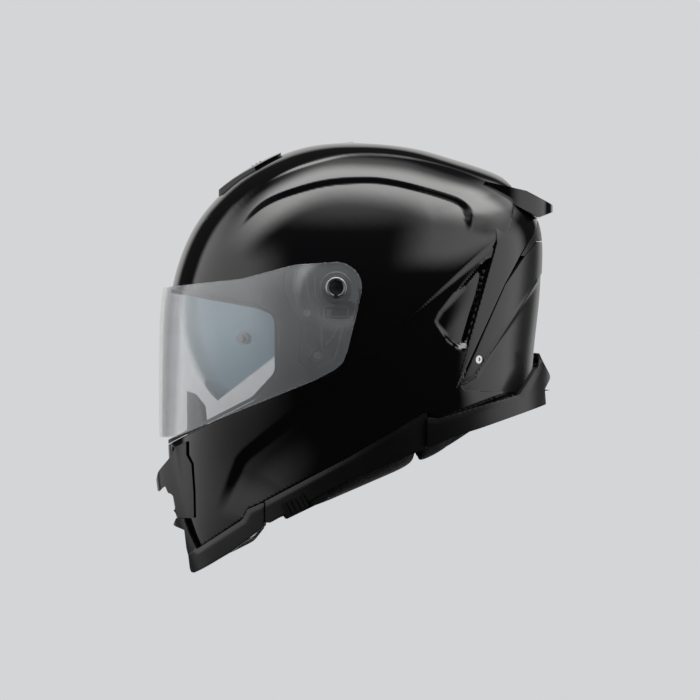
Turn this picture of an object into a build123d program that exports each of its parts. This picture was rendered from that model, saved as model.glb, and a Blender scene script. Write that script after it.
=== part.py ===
"""Full-face motorcycle helmet with a tip-up clear shield and a drop-down sun visor.

Everything is drawn as the helmet is worn: the origin is on the shield's pivot axis, -Y is the
front, +X the wearer's left and +Z up. At the end it is tipped back to stand on its rim.
All lengths are in millimetres.
"""

from build123d import *
from functools import cache
from math import atan2, cos, degrees, pi, radians, sin
import os

# ---------------------------------------------------------------- overall sizes
shell_length = 273.8        # front to back of the shell, without vents and spoilers
shell_width = 249.2         # widest, below the pivots
crown_height = 108.0        # crown above the shield's pivot axis

# ---------------------------------------------------------------- walls and layers
shell_wall = 4.0
fit_gap = 0.3               # between neighbouring layers
run_gap = 0.06              # round a turning pin
impact_depth = 34.0         # inner face of the impact liner, below the shell's surface
pad_depth = 45.0            # inner face of the comfort liner
cheek_depth = 50.0
trim_depth = 7.0
trim_proud = 0.6
pocket_depth = 5.0          # floor of the recess that holds each base plate
pocket_wall = 1.3

# ---------------------------------------------------------------- shield
shield_thickness = 2.2
shield_side_gap = 0.5       # inner face stands off the shell at the sides
shield_front_gap = 4.6      # and at the front
shield_arm_radius = 19.0
pivot_shaft_radius = 5.5
pivot_cap_radius = 7.6
pivot_cap_thickness = 1.5
hub_thickness = 2.6
hub_sink = 0.6              # the flat hub's inner face, below the shell's side
hub_room = 1.5              # flat room round the hub in the shell and the base plate
pin_radius = 3.0

# ---------------------------------------------------------------- sun visor
sun_y = -10.0               # its pivot axis
sun_z = -14.0
sun_radius = 106.5          # outer radius at the middle of the lens
sun_half_width = shell_width / 2 - 12.2
sun_thickness = 2.0
sun_power = 2.3
sun_pin_radius = 3.0
sun_hub_radius = 9.0
sun_swing = 48.0

# ---------------------------------------------------------------- rim, straps and rings
port_rim = 3.0              # width of the eye port's gasket
strap_width = 24.0
strap_thickness = 1.8
ring_wire = 1.6             # radius of the D-rings' wire
ring_inner = 4.2            # inside radius of the strap's loop
lever_travel = 3.0
screw_radius = 1.5
screw_head_radius = 2.8

# scale of the styling lines, which follow the overall sizes
kx = shell_width / 249.2
ky = shell_length / 273.8
kz = crown_height / 108.0
mid_y = 11.0                # the insets shrink about this y
span = 150 * kx             # past the shell's side

# the shell's level sections: height, front, back, back of the rear parts, half width,
# y of the widest point, roundness of the front half
stations = [
    (104.5, -21.0, 46.0, 47.0, 38.0, 9.0, 2.10),
    (94.0, -51.0, 86.0, 92.0, 68.0, 8.0, 2.12),
    (77.0, -79.0, 113.5, 130.0, 88.5, 7.0, 2.15),
    (54.0, -101.5, 133.5, 150.0, 105.0, 7.0, 2.20),
    (28.0, -115.3, 143.8, 154.5, 117.0, 7.0, 2.25),
    (0.0, -123.3, 147.5, 153.5, 123.3, 7.0, 2.30),
    (-30.0, -125.8, 145.5, 150.5, 124.4, 9.0, 2.25),
    (-62.0, -126.2, 139.0, 147.3, 121.8, 13.0, 2.20),
    (-100.0, -126.1, 132.0, 147.0, 115.0, 18.0, 2.10),
    (-140.0, -124.4, 130.0, 147.0, 106.0, 24.0, 2.00),
    (-180.0, -117.4, 130.0, 147.0, 97.0, 28.0, 2.00),
    (-222.0, -102.5, 130.0, 147.0, 89.0, 30.0, 2.00),
]
rear_power = 2.3
arc_points = 3              # section points in each quarter
section_steps = [i / (4 * arc_points) for i in range(4 * arc_points + 1)]


def section_points(front, back, half_width, widest, power):
    """Points round one superellipse section, in XY, from the back."""
    points = []
    for i in range(4 * arc_points):
        c, s = cos(pi * i / (2 * arc_points)), sin(pi * i / (2 * arc_points))
        n = rear_power if c >= 0 else power
        reach = back - widest if c >= 0 else widest - front
        y = widest + reach * (1 if c >= 0 else -1) * abs(c) ** (2 / n)
        x = half_width * (1 if s >= 0 else -1) * abs(s) ** (2 / n)
        points.append((x, y))
    return points


@cache
def form(inset=0.0, front=None, rear=None, aero=False):
    """The helmet's smooth body, shrunk by inset; front and rear override it along Y."""
    front = inset if front is None else front
    rear = inset if rear is None else rear
    centre = mid_y * ky
    sx = 1 - inset / (shell_width / 2)
    sz = 1 - inset / crown_height

    def along(y):
        shrink = front if y < mid_y else rear
        return centre + (y - mid_y) * ky * (1 - shrink / (136 * ky))

    with BuildPart() as body:
        sections = []
        for z, y_front, y_back, y_aero, half, widest, power in reversed(stations):
            level = z * kz * sz if z > 0 else z
            back = y_aero if aero else y_back
            with BuildSketch(Plane.XY.offset(level)) as section:
                with BuildLine():
                    points = section_points(along(y_front), along(back), half * kx * sx,
                                            along(widest), power)
                    # every section has the same parameters, which keeps the lofted surface light
                    add(Edge.make_spline([Vector(x, y, 0) for x, y in points], periodic=True,
                                         parameters=section_steps))
                make_face()
            sections.append(section.sketch.face())
        loft(sections=[*sections, Vertex(0, along(12), crown_height * sz)])
    return body.part


def style(*points):
    """Side-view points that follow the shell's length."""
    return [(y * ky, z) for y, z in points]


def side_prism(points, radius=0.0, grow=0.0, near=None, mode=Mode.ADD):
    """A side-view outline run across the helmet; near starts it at that x, on the left only."""
    with BuildSketch(Plane.YZ.offset(near or 0)) as outline:
        with BuildLine():
            if radius:
                FilletPolyline(*points, radius=radius, close=True)
            else:
                Polyline(*points, close=True)
        make_face()
        if grow:
            offset(amount=grow)
    extrude(outline.sketch, amount=span - (near or 0), both=near is None, mode=mode)


def side_plane(y, z, inset=0.0):
    """The tangent plane of the left side there: its x runs rearward, its z outward."""
    point, normal = form(inset).find_intersection_points(Axis((0, y, z), (1, 0, 0)))[-1]
    rearward = Vector(0, 1, 0) - normal * normal.Y
    return Plane(origin=point, x_dir=rearward, z_dir=normal)


def save(piece, name):
    """Label a finished piece and keep it for writing."""
    piece.label = name
    finished[name] = piece


finished = {}

# ---------------------------------------------------------------- side-view outlines
port = style((-165, 4.5), (-60, -14.2), (-45.5, -20), (-45.2, -62), (-62, -80.2), (-165, -133))
port_radius = 9.0
shield_lines = style((-150, -1), (-70, 6.6), (-32, 17)) + [
    (-3, shield_arm_radius - 0.2), (0, 0), (shield_arm_radius - 0.5, -4)] + style(
    (8.5, -46), (5, -55), (-1.5, -60.5), (-16.2, -68.2), (-69.1, -89.6), (-120.8, -110.7), (-150, -111))
plate_lines = [(-37, 9), (-38, -0.5), (-32.3, -16.4), (-25.6, -24.2), (11.6, -24.2), (15.8, -6),
               (14, 9), (3, 16.5), (-30, 15)]
lever_lines = [(-25, -26.8), (-25.2, -50), (-12, -63), (1.4, -56), (4.2, -48), (9.6, -26.8)]
pocket_lines = [(-39, 11), (-39, -2), (-33, -17), (-26, -26), (-27.6, -54), (-12, -69.5),
                (3.4, -60), (6.2, -49), (17, -6), (15, 10), (4, 18), (-31, 16.6)]
rim_chin = style((-106, -212))[0]                # the rim's two ends, which it stands on
rim_nape = style((156.4, -86.2))[0]
rim_slope = (rim_nape[1] - rim_chin[1]) / (rim_nape[0] - rim_chin[0])
stand_pitch = degrees(atan2(rim_slope, 1))

split_front = -53.0 * ky    # joints between the rim's mouldings
split_rear = 67.0 * ky
plate_out = 0.1             # the base plate's faces, below the shell's surface
plate_in = pocket_depth - 0.3
lever_out = 3.2
lever_in = pocket_depth - 0.6

# ---------------------------------------------------------------- shell
with BuildPart() as outer_shell:
    add(form())
    add(form(shell_wall), mode=Mode.SUBTRACT)
    side_prism(port, port_radius, grow=port_rim + 0.05, mode=Mode.SUBTRACT)
    # ends where the rim's mouldings take over
    side_prism(style((-170, -171), (-114, -171), (-109, -183.7), (-103.5, -193.6), (-69.4, -170.6),
                     (-65.4, -163.2), (-56.6, -159)) + style((10.2, -123.9), (65.6, -90.7),
               (75.8, -95.3), (135.9, -77.9), (153.3, -53.3), (175, -45.5), (175, -240), (-170, -240)),
               mode=Mode.SUBTRACT)
with BuildPart() as pocket_floor:
    side_prism(pocket_lines, grow=pocket_wall, near=90 * kx)
    add(form(shell_wall - 1.0), mode=Mode.INTERSECT)
    add(form(pocket_depth + pocket_wall), mode=Mode.SUBTRACT)
with BuildPart() as pocket_space:
    side_prism(pocket_lines, near=90 * kx)
    add(form(pocket_depth), mode=Mode.SUBTRACT)
pivot_x = side_plane(0, 0).origin.X
pivot_seat = pivot_x - pocket_depth - 0.3       # flat seats for the pivots
hub_inner = pivot_x - hub_sink
hub_outer = hub_inner + hub_thickness
with BuildPart() as shell_openings:
    for side in (1, -1):
        with BuildSketch(Plane.YZ.offset(side * pivot_seat)):
            Circle(pivot_shaft_radius + 0.3)
        extrude(amount=side * 10)
        with BuildSketch(Plane.YZ.offset(side * (hub_inner - fit_gap))):
            Circle(shield_arm_radius + hub_room)
        extrude(amount=side * 10)
    # air slots under the top vent, the crown lid and the chin vent
    with BuildSketch(Plane.XY.offset(60 * kz)):
        with Locations((-17, -57 * ky), (17, -57 * ky)):
            SlotOverall(22, 6)
    extrude(amount=70 * kz)
    with BuildSketch(Plane.XZ.offset(80 * ky)):
        with Locations((0, -159)):
            RectangleRounded(58, 13, 4)
    extrude(amount=60 * ky)
plate_screw_at = side_plane(-21.5, -18.5)
lever_screw_at = side_plane(-14.1, -50)
with BuildPart() as left_screw_holes:
    for place in (plate_screw_at, lever_screw_at):
        with BuildSketch(place.offset(-8)):
            Circle(screw_radius + 0.05)
        extrude(amount=10)
with BuildPart() as screw_holes:
    add(left_screw_holes.part)
    add(mirror(left_screw_holes.part, about=Plane.YZ))
with BuildPart() as shell:
    add(outer_shell.part)
    add(pocket_floor.part)
    add(mirror(pocket_floor.part, about=Plane.YZ))
    add(pocket_space.part, mode=Mode.SUBTRACT)
    add(mirror(pocket_space.part, about=Plane.YZ), mode=Mode.SUBTRACT)
    add(shell_openings.part, mode=Mode.SUBTRACT)
    add(screw_holes.part, mode=Mode.SUBTRACT)
save(shell.part, "outer_shell")

# ---------------------------------------------------------------- eye port gasket
with BuildPart() as gasket:
    side_prism(port, port_radius, grow=port_rim - 0.3)
    side_prism(port, port_radius, mode=Mode.SUBTRACT)
    add(form(-0.2), mode=Mode.INTERSECT)
    add(form(shell_wall + 0.6), mode=Mode.SUBTRACT)
save(gasket.part, "eye_port_gasket")

# ---------------------------------------------------------------- impact liner and comfort liner
liner_line = style((-43, -50), (60, -57), (175, -62))


def visor_arc(gap):
    """Half profile of the sun visor's bowl from one pole to the other, moved in by gap."""
    half, radius = sun_half_width - gap, sun_radius - gap
    angles = [pi * i / 12 for i in range(13)]
    return [(half * (1 if cos(a) > 0 else -1) * abs(cos(a)) ** (2 / sun_power),
             radius * abs(sin(a)) ** (2 / sun_power)) for a in angles]


def visor_plane(angle):
    """The plane through the visor's axis that looks forward, angle degrees above level."""
    a = radians(angle)
    forward = Vector(0, -cos(a), sin(a))
    return Plane(origin=(0, sun_y, sun_z), x_dir=(1, 0, 0), z_dir=Vector(1, 0, 0).cross(forward))


with BuildPart() as sun_space:
    # the room the sun visor swings through, open outwards to the shell
    with BuildSketch(visor_plane(-60)) as room:
        with BuildLine():
            Spline(*visor_arc(3.4), tangents=[(0, 1), (0, -1)])
            edge = sun_half_width - 3.4
            Polyline((-edge, 0), (-edge - 30, 0), (-edge - 30, 160 * ky), (edge + 30, 160 * ky),
                     (edge + 30, 0), (edge, 0))
        make_face()
    revolve(axis=Axis((0, sun_y, sun_z), (-1, 0, 0)), revolution_arc=sun_swing + 90)
    with BuildSketch(Plane.YZ) as hub_disc:
        with Locations((sun_y, sun_z)):
            Circle(sun_hub_radius + 13)
    for side in (1, -1):
        extrude(hub_disc.sketch, amount=side * span)
    with BuildSketch(Plane.YZ) as between:
        with Locations((sun_y, sun_z)):
            Circle(sun_hub_radius + 13.1)
    extrude(between.sketch, amount=sun_half_width - sun_thickness - 2.5, both=True,
            mode=Mode.SUBTRACT)

with BuildPart() as pocket_backing:
    side_prism(pocket_lines, grow=pocket_wall + fit_gap, near=90 * kx)
    add(form(pocket_depth + pocket_wall + fit_gap), mode=Mode.SUBTRACT)

with BuildPart() as impact_liner:
    add(form(shell_wall + fit_gap))
    add(form(impact_depth), mode=Mode.SUBTRACT)
    side_prism(port, port_radius, grow=port_rim + 0.6, mode=Mode.SUBTRACT)
    side_prism([(-170 * ky, liner_line[0][1]), *liner_line, (175 * ky, -240), (-170 * ky, -240)],
               mode=Mode.SUBTRACT)
    add(pocket_backing.part, mode=Mode.SUBTRACT)
    add(mirror(pocket_backing.part, about=Plane.YZ), mode=Mode.SUBTRACT)
    add(sun_space.part, mode=Mode.SUBTRACT)
save(impact_liner.part, "impact_liner")

with BuildPart() as crown_pad:
    add(form(impact_depth + fit_gap))
    add(form(pad_depth), mode=Mode.SUBTRACT)
    side_prism(port, port_radius, grow=port_rim + 1, mode=Mode.SUBTRACT)
    side_prism(style((-170, -20), (-43, -20), (175, -40), (175, -240), (-170, -240)),
               mode=Mode.SUBTRACT)
save(crown_pad.part, "crown_pad")

# room for the rim's mouldings, below the shell's lower edge
with BuildPart() as rim_space:
    side_prism(style((-170, -170.5), (-113.6, -170.5), (-108.6, -183), (-103.3, -192.9),
                     (-69, -169.9), (-65, -162.5), (10.2, -123.2), (65.8, -90),
                     (75.8, -94.6), (135.7, -77.2), (153, -52.6), (175, -44.8),
                     (175, -240), (-170, -240)))
    add(form(trim_depth + fit_gap), mode=Mode.SUBTRACT)

strap_x = 54.0              # the straps hang this far out
strap_root = 112.0 * kx
anchor_radius = 8.0
strap_plane = Plane(origin=(0, 8 * ky, -75), x_dir=(1, 0, 0),
                    z_dir=(0, -cos(radians(stand_pitch)), -sin(radians(stand_pitch))))

with BuildPart() as cheek_pad_left:
    side_prism(style((-41.3, -51), (59.4, -58), (58.6, -104), (57.6, -128), (48.2, -133.5),
                     (13.7, -148.5), (-9.3, -158.5), (-48, -172), (-64, -176), (-64, -90),
                     (-41.3, -76)), near=30 * kx)
    add(form(shell_wall + 2 * fit_gap), mode=Mode.INTERSECT)
    add(form(cheek_depth), mode=Mode.SUBTRACT)
    side_prism(port, port_radius, grow=port_rim + 0.6, mode=Mode.SUBTRACT)
    add(rim_space.part, mode=Mode.SUBTRACT)
    add(pocket_backing.part, mode=Mode.SUBTRACT)
    # the slit that the chin strap comes through
    with BuildSketch(strap_plane) as slit:
        Rectangle(300 * kx, strap_thickness + 3)
    extrude(slit.sketch, amount=strap_width / 2 + 1.5, both=True, mode=Mode.SUBTRACT)
    with BuildSketch(Plane(origin=strap_plane.from_local_coords(Vector(strap_root - 1, 0, 0)),
                           x_dir=(0, 1, 0), z_dir=(1, 0, 0))) as anchor_room:
        Circle(anchor_radius + 1)
    extrude(anchor_room.sketch, amount=20, mode=Mode.SUBTRACT)
save(cheek_pad_left.part, "cheek_pad_left")
with BuildPart() as cheek_pad_right:
    add(mirror(cheek_pad_left.part, about=Plane.YZ))
save(cheek_pad_right.part, "cheek_pad_right")

with BuildPart() as neck_roll:
    side_prism(style((60.2, -58), (160, -63), (160, -82), (104, -103), (91, -111.5),
                     (71.3, -124), (60, -128.5)))
    add(form(shell_wall + 2 * fit_gap), mode=Mode.INTERSECT)
    add(form(impact_depth), mode=Mode.SUBTRACT)
    add(rim_space.part, mode=Mode.SUBTRACT)
save(neck_roll.part, "neck_roll")

with BuildPart() as chin_liner:
    side_prism(style((-64.6, -70), (-64.6, -160), (-67.5, -171), (-78, -185.5), (-97, -197.5),
                     (-106, -201), (-140, -201), (-140, -70)))
    add(form(shell_wall + fit_gap), mode=Mode.INTERSECT)
    add(form(24), mode=Mode.SUBTRACT)
    side_prism(port, port_radius, grow=port_rim + 0.6, mode=Mode.SUBTRACT)
    add(rim_space.part, mode=Mode.SUBTRACT)
    # window behind the chin vent
    with BuildSketch(Plane.XZ.offset(60 * ky)) as window:
        with Locations((0, -155)):
            Rectangle(74, 42)
    extrude(window.sketch, amount=90 * ky, mode=Mode.SUBTRACT)
save(chin_liner.part, "chin_impact_liner")

# ---------------------------------------------------------------- rim mouldings
with BuildPart() as side_trim_left:
    side_prism(style((-52.8, -157.6), (10.2, -124.4), (65.5, -91.2), (66.8, -93), (66.8, -118.2),
                     (11.5, -140.6), (-9.3, -151.7), (-51.8, -175.1), (-52.8, -175.9)), near=20)
    add(form(-trim_proud), mode=Mode.INTERSECT)
    add(form(trim_depth), mode=Mode.SUBTRACT)
with BuildPart() as side_trim_right:
    add(mirror(side_trim_left.part, about=Plane.YZ))
slider_at = side_plane(-25 * ky, -157.5, -trim_proud)
trim_run = Vector(0, cos(radians(28)), sin(radians(28)))
along_trim = trim_run - slider_at.z_dir * trim_run.dot(slider_at.z_dir)
slider_plane = Plane(origin=slider_at.origin, x_dir=along_trim, z_dir=slider_at.z_dir)
track_length, track_width = 38.0, 14.0
with BuildPart() as side_trim_left_cut:
    add(side_trim_left.part)
    with BuildSketch(slider_plane.offset(-4.2)) as seat:
        Rectangle(track_length + 0.4, track_width + 0.4)
    extrude(seat.sketch, amount=20, mode=Mode.SUBTRACT)
save(side_trim_left_cut.part, "side_trim_left")
save(side_trim_right.part, "side_trim_right")

with BuildPart() as slider_track:
    with BuildSketch(slider_plane.offset(-4.2)):
        RectangleRounded(track_length, track_width, 2)
    extrude(amount=2.2)
    with BuildSketch(slider_plane.offset(-3.4)):
        Rectangle(track_length - 5, 5)
    extrude(amount=3, mode=Mode.SUBTRACT)
save(slider_track.part, "slider_track")

slider_length = 19.0
slider_rest = -(track_length - 5 - slider_length) / 2 + 0.8
with BuildPart() as slider:
    with BuildSketch(slider_plane.offset(-3.3)):
        with Locations((slider_rest, 0)):
            Rectangle(slider_length, 4.8)
    extrude(amount=1.5)
    with BuildSketch(slider_plane.offset(-1.9)):
        with Locations((slider_rest, 0)):
            RectangleRounded(slider_length, track_width - 2, 3)
    extrude(amount=3.4)
    with BuildSketch(slider_plane.offset(1.5)):
        with Locations((slider_rest, 0)):
            with GridLocations(4, 1, 4, 1):
                Rectangle(1.6, track_width - 4.5)
    extrude(amount=0.9)
save(slider.part, "sun_visor_slider")

with BuildPart() as chin_spoiler:
    side_prism([(-53.3 * ky, -158.2), *style((-65.6, -163.7), (-69.4, -171.3), (-104.1, -194.2),
               (-109.3, -183.7), (-114, -171.5), (-119.8, -171.3), (-122.4, -176.9),
               (-113.5, -180), (-112, -194.2), (-110.6, -199.5), (-109.6, -208)), rim_chin,
               (-86 * ky, rim_chin[1] + rim_slope * (-86 * ky - rim_chin[0])),
               *style((-78.3, -195.7), (-53.3, -176.3))])
    add(form(-trim_proud, front=-6), mode=Mode.INTERSECT)
    add(form(trim_depth), mode=Mode.SUBTRACT)
save(chin_spoiler.part, "chin_spoiler")

with BuildPart() as rear_collar:
    side_prism([*style((67.4, -95.4), (75.8, -96.1), (135.9, -78.7), (150.5, -57.5), (150.5, -47.2),
                       (154, -54.5), (159.8, -64.6), (159.8, -67.4), (155.5, -74.8)), rim_nape,
                (132 * ky, rim_nape[1] + rim_slope * (132 * ky - rim_nape[0])),
                *style((105.5, -103.8), (92, -107.9), (67.4, -118))])
    add(form(-trim_proud, rear=-14, aero=True), mode=Mode.INTERSECT)
    add(form(trim_depth), mode=Mode.SUBTRACT)
save(rear_collar.part, "rear_collar")

# ---------------------------------------------------------------- rear blades, panel and spoiler
with BuildPart() as rear_blade_left:
    side_prism(style((116.8, 70), (119, 33), (87.4, -75.1), (88.8, -74.2), (124.6, 3.2),
                     (136.3, 23.9), (149.5, 45.6), (150.8, 52.8)), near=8)
    add(form(aero=True), mode=Mode.INTERSECT)
    add(form(-fit_gap), mode=Mode.SUBTRACT)
save(rear_blade_left.part, "rear_blade_left")
with BuildPart() as rear_blade_right:
    add(mirror(rear_blade_left.part, about=Plane.YZ))
save(rear_blade_right.part, "rear_blade_right")

with BuildPart() as exhaust_vent:
    side_prism(style((137, 24.2), (149.9, 45.5), (151.3, 52.6), (168, 50), (168, 36.4),
                     (149.8, 36.2), (139.7, 24.2)))
    add(form(aero=True), mode=Mode.INTERSECT)
    add(form(-fit_gap), mode=Mode.SUBTRACT)
save(exhaust_vent.part, "exhaust_vent")

hit, normal = form(aero=True).find_intersection_points(
    Axis((0, 105.3 * ky, -52.7), (1, 0, 0)))[-1]
panel_screw_at = Plane(origin=hit - normal * 1.5, z_dir=normal)
with BuildPart() as panel_screw_seat:
    with BuildSketch(panel_screw_at):
        Circle(3.15)
    extrude(amount=5)
with BuildPart() as left_panel_screw:
    with BuildSketch(panel_screw_at):
        Circle(3)
    extrude(amount=1.6)
    with BuildSketch(panel_screw_at.offset(0.8)):
        RegularPolygon(1.5, 6)
    extrude(amount=1, mode=Mode.SUBTRACT)
with BuildPart() as panel_screws:
    add(left_panel_screw.part)
    add(mirror(left_panel_screw.part, about=Plane.YZ))
save(panel_screws.part, "rear_panel_screws")

with BuildPart() as rear_panel:
    side_prism(style((140.2, 23.7), (150.1, 35.2), (168, 35.2), (168, -49), (150.2, -47),
                     (150.2, -57.6), (135.7, -78.3), (90.2, -75.4), (125.3, 2.7)))
    add(form(aero=True), mode=Mode.INTERSECT)
    add(form(-fit_gap), mode=Mode.SUBTRACT)
    add(panel_screw_seat.part, mode=Mode.SUBTRACT)
    add(mirror(panel_screw_seat.part, about=Plane.YZ), mode=Mode.SUBTRACT)
save(rear_panel.part, "rear_panel")

with BuildPart() as rear_spoiler:
    side_prism(style((110.5, 79.7), (141.8, 72.8), (162.4, 62.5), (162.8, 57.9), (151.1, 53.2),
                     (116.9, 70.5)))
    with BuildSketch(Plane.XY) as wing:
        with BuildLine():
            Spline((-58 * kx, 100 * ky), (-50 * kx, 132 * ky), (-28 * kx, 156 * ky), (0, 162.4 * ky),
                   (28 * kx, 156 * ky), (50 * kx, 132 * ky), (58 * kx, 100 * ky))
            Line((58 * kx, 100 * ky), (-58 * kx, 100 * ky))
        make_face()
    extrude(wing.sketch, amount=120 * kz, mode=Mode.INTERSECT)
    add(form(-fit_gap), mode=Mode.SUBTRACT)
save(rear_spoiler.part, "rear_spoiler")

# ---------------------------------------------------------------- shield and its mechanism

pin_at = side_plane(-70.8 * ky, -37.4, -shield_side_gap - shield_thickness)
pin_at_right = Plane(origin=(-pin_at.origin.X, pin_at.origin.Y, pin_at.origin.Z),
                     z_dir=(-pin_at.z_dir.X, pin_at.z_dir.Y, pin_at.z_dir.Z))
with BuildPart() as shield:
    side_prism(shield_lines)
    side_prism([(0, shield_arm_radius - 1), (-shield_arm_radius + 1, 0), (0, -shield_arm_radius + 1)])
    add(form(-shield_side_gap - shield_thickness, front=-shield_front_gap - shield_thickness),
        mode=Mode.INTERSECT)
    # lifting tab on the lower edge
    with BuildSketch(Plane.YZ) as ledge:
        with BuildLine():
            Polyline(*style((-124, -107.6), (-142.3, -117.0), (-142.3, -118.8), (-141.2, -118.9),
                            (-124, -110.2)), close=True)
        make_face()
    with BuildPart(mode=Mode.PRIVATE) as tab:
        extrude(ledge.sketch, amount=60, both=True)
        with BuildSketch(Plane.XY.offset(-125)):
            with BuildLine():
                FilletPolyline((-40, -110 * ky), (-17, -143 * ky), (17, -143 * ky), (40, -110 * ky),
                               radius=6, close=True)
            make_face()
        extrude(amount=25, mode=Mode.INTERSECT)
    add(tab.part)
    add(form(-shield_side_gap, front=-shield_front_gap), mode=Mode.SUBTRACT)
    # flat hubs round the pivots
    for side in (1, -1):
        with BuildSketch(Plane.YZ.offset(side * (hub_inner - 8))) as clear:
            Circle(shield_arm_radius - 0.8)
        extrude(clear.sketch, amount=side * 16, mode=Mode.SUBTRACT)
        # the arm's inner corner, which would ride up on the shell as the shield tips
        with BuildSketch(Plane.YZ.offset(side * (hub_inner - 8))) as corner:
            Circle(shield_arm_radius + hub_room + 1.0)
        extrude(corner.sketch, amount=side * 8, mode=Mode.SUBTRACT)
        with BuildSketch(Plane.YZ.offset(side * hub_inner)) as hub:
            Circle(shield_arm_radius)
            Circle(pivot_shaft_radius + run_gap, mode=Mode.SUBTRACT)
        extrude(hub.sketch, amount=side * hub_thickness)
    for place in (pin_at, pin_at_right):
        with BuildSketch(place.offset(-8)) as pin_hole:
            Circle(pin_radius + 0.05)
        extrude(pin_hole.sketch, amount=16, mode=Mode.SUBTRACT)
save(shield.part, "shield")

with BuildPart() as shield_pivot_left:
    with BuildSketch(Plane.YZ.offset(pivot_seat)):
        Circle(pivot_shaft_radius)
    extrude(amount=hub_outer + 0.15 - pivot_seat)
    with BuildSketch(Plane.YZ.offset(hub_outer + 0.15)):
        Circle(pivot_cap_radius)
    extrude(amount=pivot_cap_thickness)
    fillet(faces().sort_by(Axis.X)[-1].edges(), 0.6)
    # the ring groove and the coin slot
    with BuildSketch(Plane.YZ.offset(hub_outer + 0.15 + pivot_cap_thickness)):
        Circle(pivot_cap_radius - 2)
        Circle(pivot_cap_radius - 2.8, mode=Mode.SUBTRACT)
        Rectangle(7, 1.2)
    extrude(amount=-0.8, mode=Mode.SUBTRACT)
save(shield_pivot_left.part, "shield_pivot_left")
with BuildPart() as shield_pivot_right:
    add(mirror(shield_pivot_left.part, about=Plane.YZ))
save(shield_pivot_right.part, "shield_pivot_right")


# ---------------------------------------------------------------- base plates, levers and screws
with BuildPart() as base_plate_left:
    side_prism(plate_lines, near=90 * kx)
    add(form(plate_out), mode=Mode.INTERSECT)
    add(form(plate_in), mode=Mode.SUBTRACT)
    with BuildSketch(Plane.YZ.offset(90 * kx)) as bore:
        Circle(pivot_shaft_radius + 0.1)
    extrude(bore.sketch, amount=60, mode=Mode.SUBTRACT)
    with BuildSketch(Plane.YZ.offset(hub_inner - fit_gap)) as hub_bed:
        Circle(shield_arm_radius + hub_room)
    extrude(hub_bed.sketch, amount=20, mode=Mode.SUBTRACT)
    with BuildSketch(plate_screw_at.offset(-8)) as through:
        Circle(screw_radius + 0.05)
    extrude(through.sketch, amount=12, mode=Mode.SUBTRACT)
    with BuildSketch(plate_screw_at.offset(-0.9)) as sink:
        Circle(screw_head_radius + 0.1)
    extrude(sink.sketch, amount=5, mode=Mode.SUBTRACT)
save(base_plate_left.part, "base_plate_left")
with BuildPart() as base_plate_right:
    add(mirror(base_plate_left.part, about=Plane.YZ))
save(base_plate_right.part, "base_plate_right")

with BuildPart() as release_lever_left:
    side_prism(lever_lines, near=90 * kx)
    add(form(lever_out), mode=Mode.INTERSECT)
    add(form(lever_in), mode=Mode.SUBTRACT)
    # slot for the guide screw: the lever is drawn down by its travel
    with BuildSketch(lever_screw_at.offset(-8)) as guide:
        with Locations((0, lever_travel / 2 + 0.2)):
            SlotOverall(2 * screw_radius + lever_travel + 0.8, 2 * screw_radius + 0.2, rotation=90)
    extrude(guide.sketch, amount=12, mode=Mode.SUBTRACT)
save(release_lever_left.part, "release_lever_left")
with BuildPart() as release_lever_right:
    add(mirror(release_lever_left.part, about=Plane.YZ))
save(release_lever_right.part, "release_lever_right")

with BuildPart() as left_screws:
    for place, top, head in ((plate_screw_at, -0.1, 0.75), (lever_screw_at, 0.8 - lever_out, 0.5)):
        with BuildSketch(place.offset(top - head)):
            Circle(screw_head_radius)
        extrude(amount=head)
        with BuildSketch(place.offset(-pocket_depth - pocket_wall)):
            Circle(screw_radius)
        extrude(amount=pocket_depth + pocket_wall + top - head)
with BuildPart() as plate_screws:
    add(left_screws.part)
    add(mirror(left_screws.part, about=Plane.YZ))
save(plate_screws.part, "base_plate_screws")

# ---------------------------------------------------------------- sun visor
with BuildPart() as sun_visor:
    with BuildSketch(visor_plane(0)) as bowl:
        with BuildLine():
            Spline(*visor_arc(0), tangents=[(0, 1), (0, -1)])
            Line((-sun_half_width, 0), (-sun_half_width + sun_thickness, 0))
            Spline(*visor_arc(sun_thickness), tangents=[(0, 1), (0, -1)])
            Line((sun_half_width - sun_thickness, 0), (sun_half_width, 0))
        make_face()
    revolve(axis=Axis((0, sun_y, sun_z), (1, 0, 0)))
    with BuildSketch(Plane.YZ) as lens:
        with BuildLine():
            Polyline((sun_y - 2, sun_z + 8.8), (sun_y - 35, sun_z + 10), *style((-140, 15),
                     (-140, -123.5), (-91, -85.2), (-52, -54.7)), (sun_y - 20, sun_z - 24),
                     (sun_y - 4, sun_z - 8.5), close=True)
        make_face()
        with Locations((sun_y, sun_z)):
            Circle(sun_hub_radius)
    extrude(lens.sketch, amount=span, both=True, mode=Mode.INTERSECT)
    with BuildSketch(Plane.XZ.offset(-sun_y)) as nose:
        with BuildLine():
            Spline((-34, sun_z - 84), (-20, sun_z - 63), (0, sun_z - 58), (20, sun_z - 63),
                   (34, sun_z - 84))
            Line((34, sun_z - 84), (-34, sun_z - 84))
        make_face()
    extrude(nose.sketch, amount=160 * ky, mode=Mode.SUBTRACT)
    with BuildSketch(Plane.YZ) as pin_holes:
        with Locations((sun_y, sun_z)):
            Circle(sun_pin_radius + run_gap)
    extrude(pin_holes.sketch, amount=span, both=True, mode=Mode.SUBTRACT)
save(sun_visor.part, "sun_visor")

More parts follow.
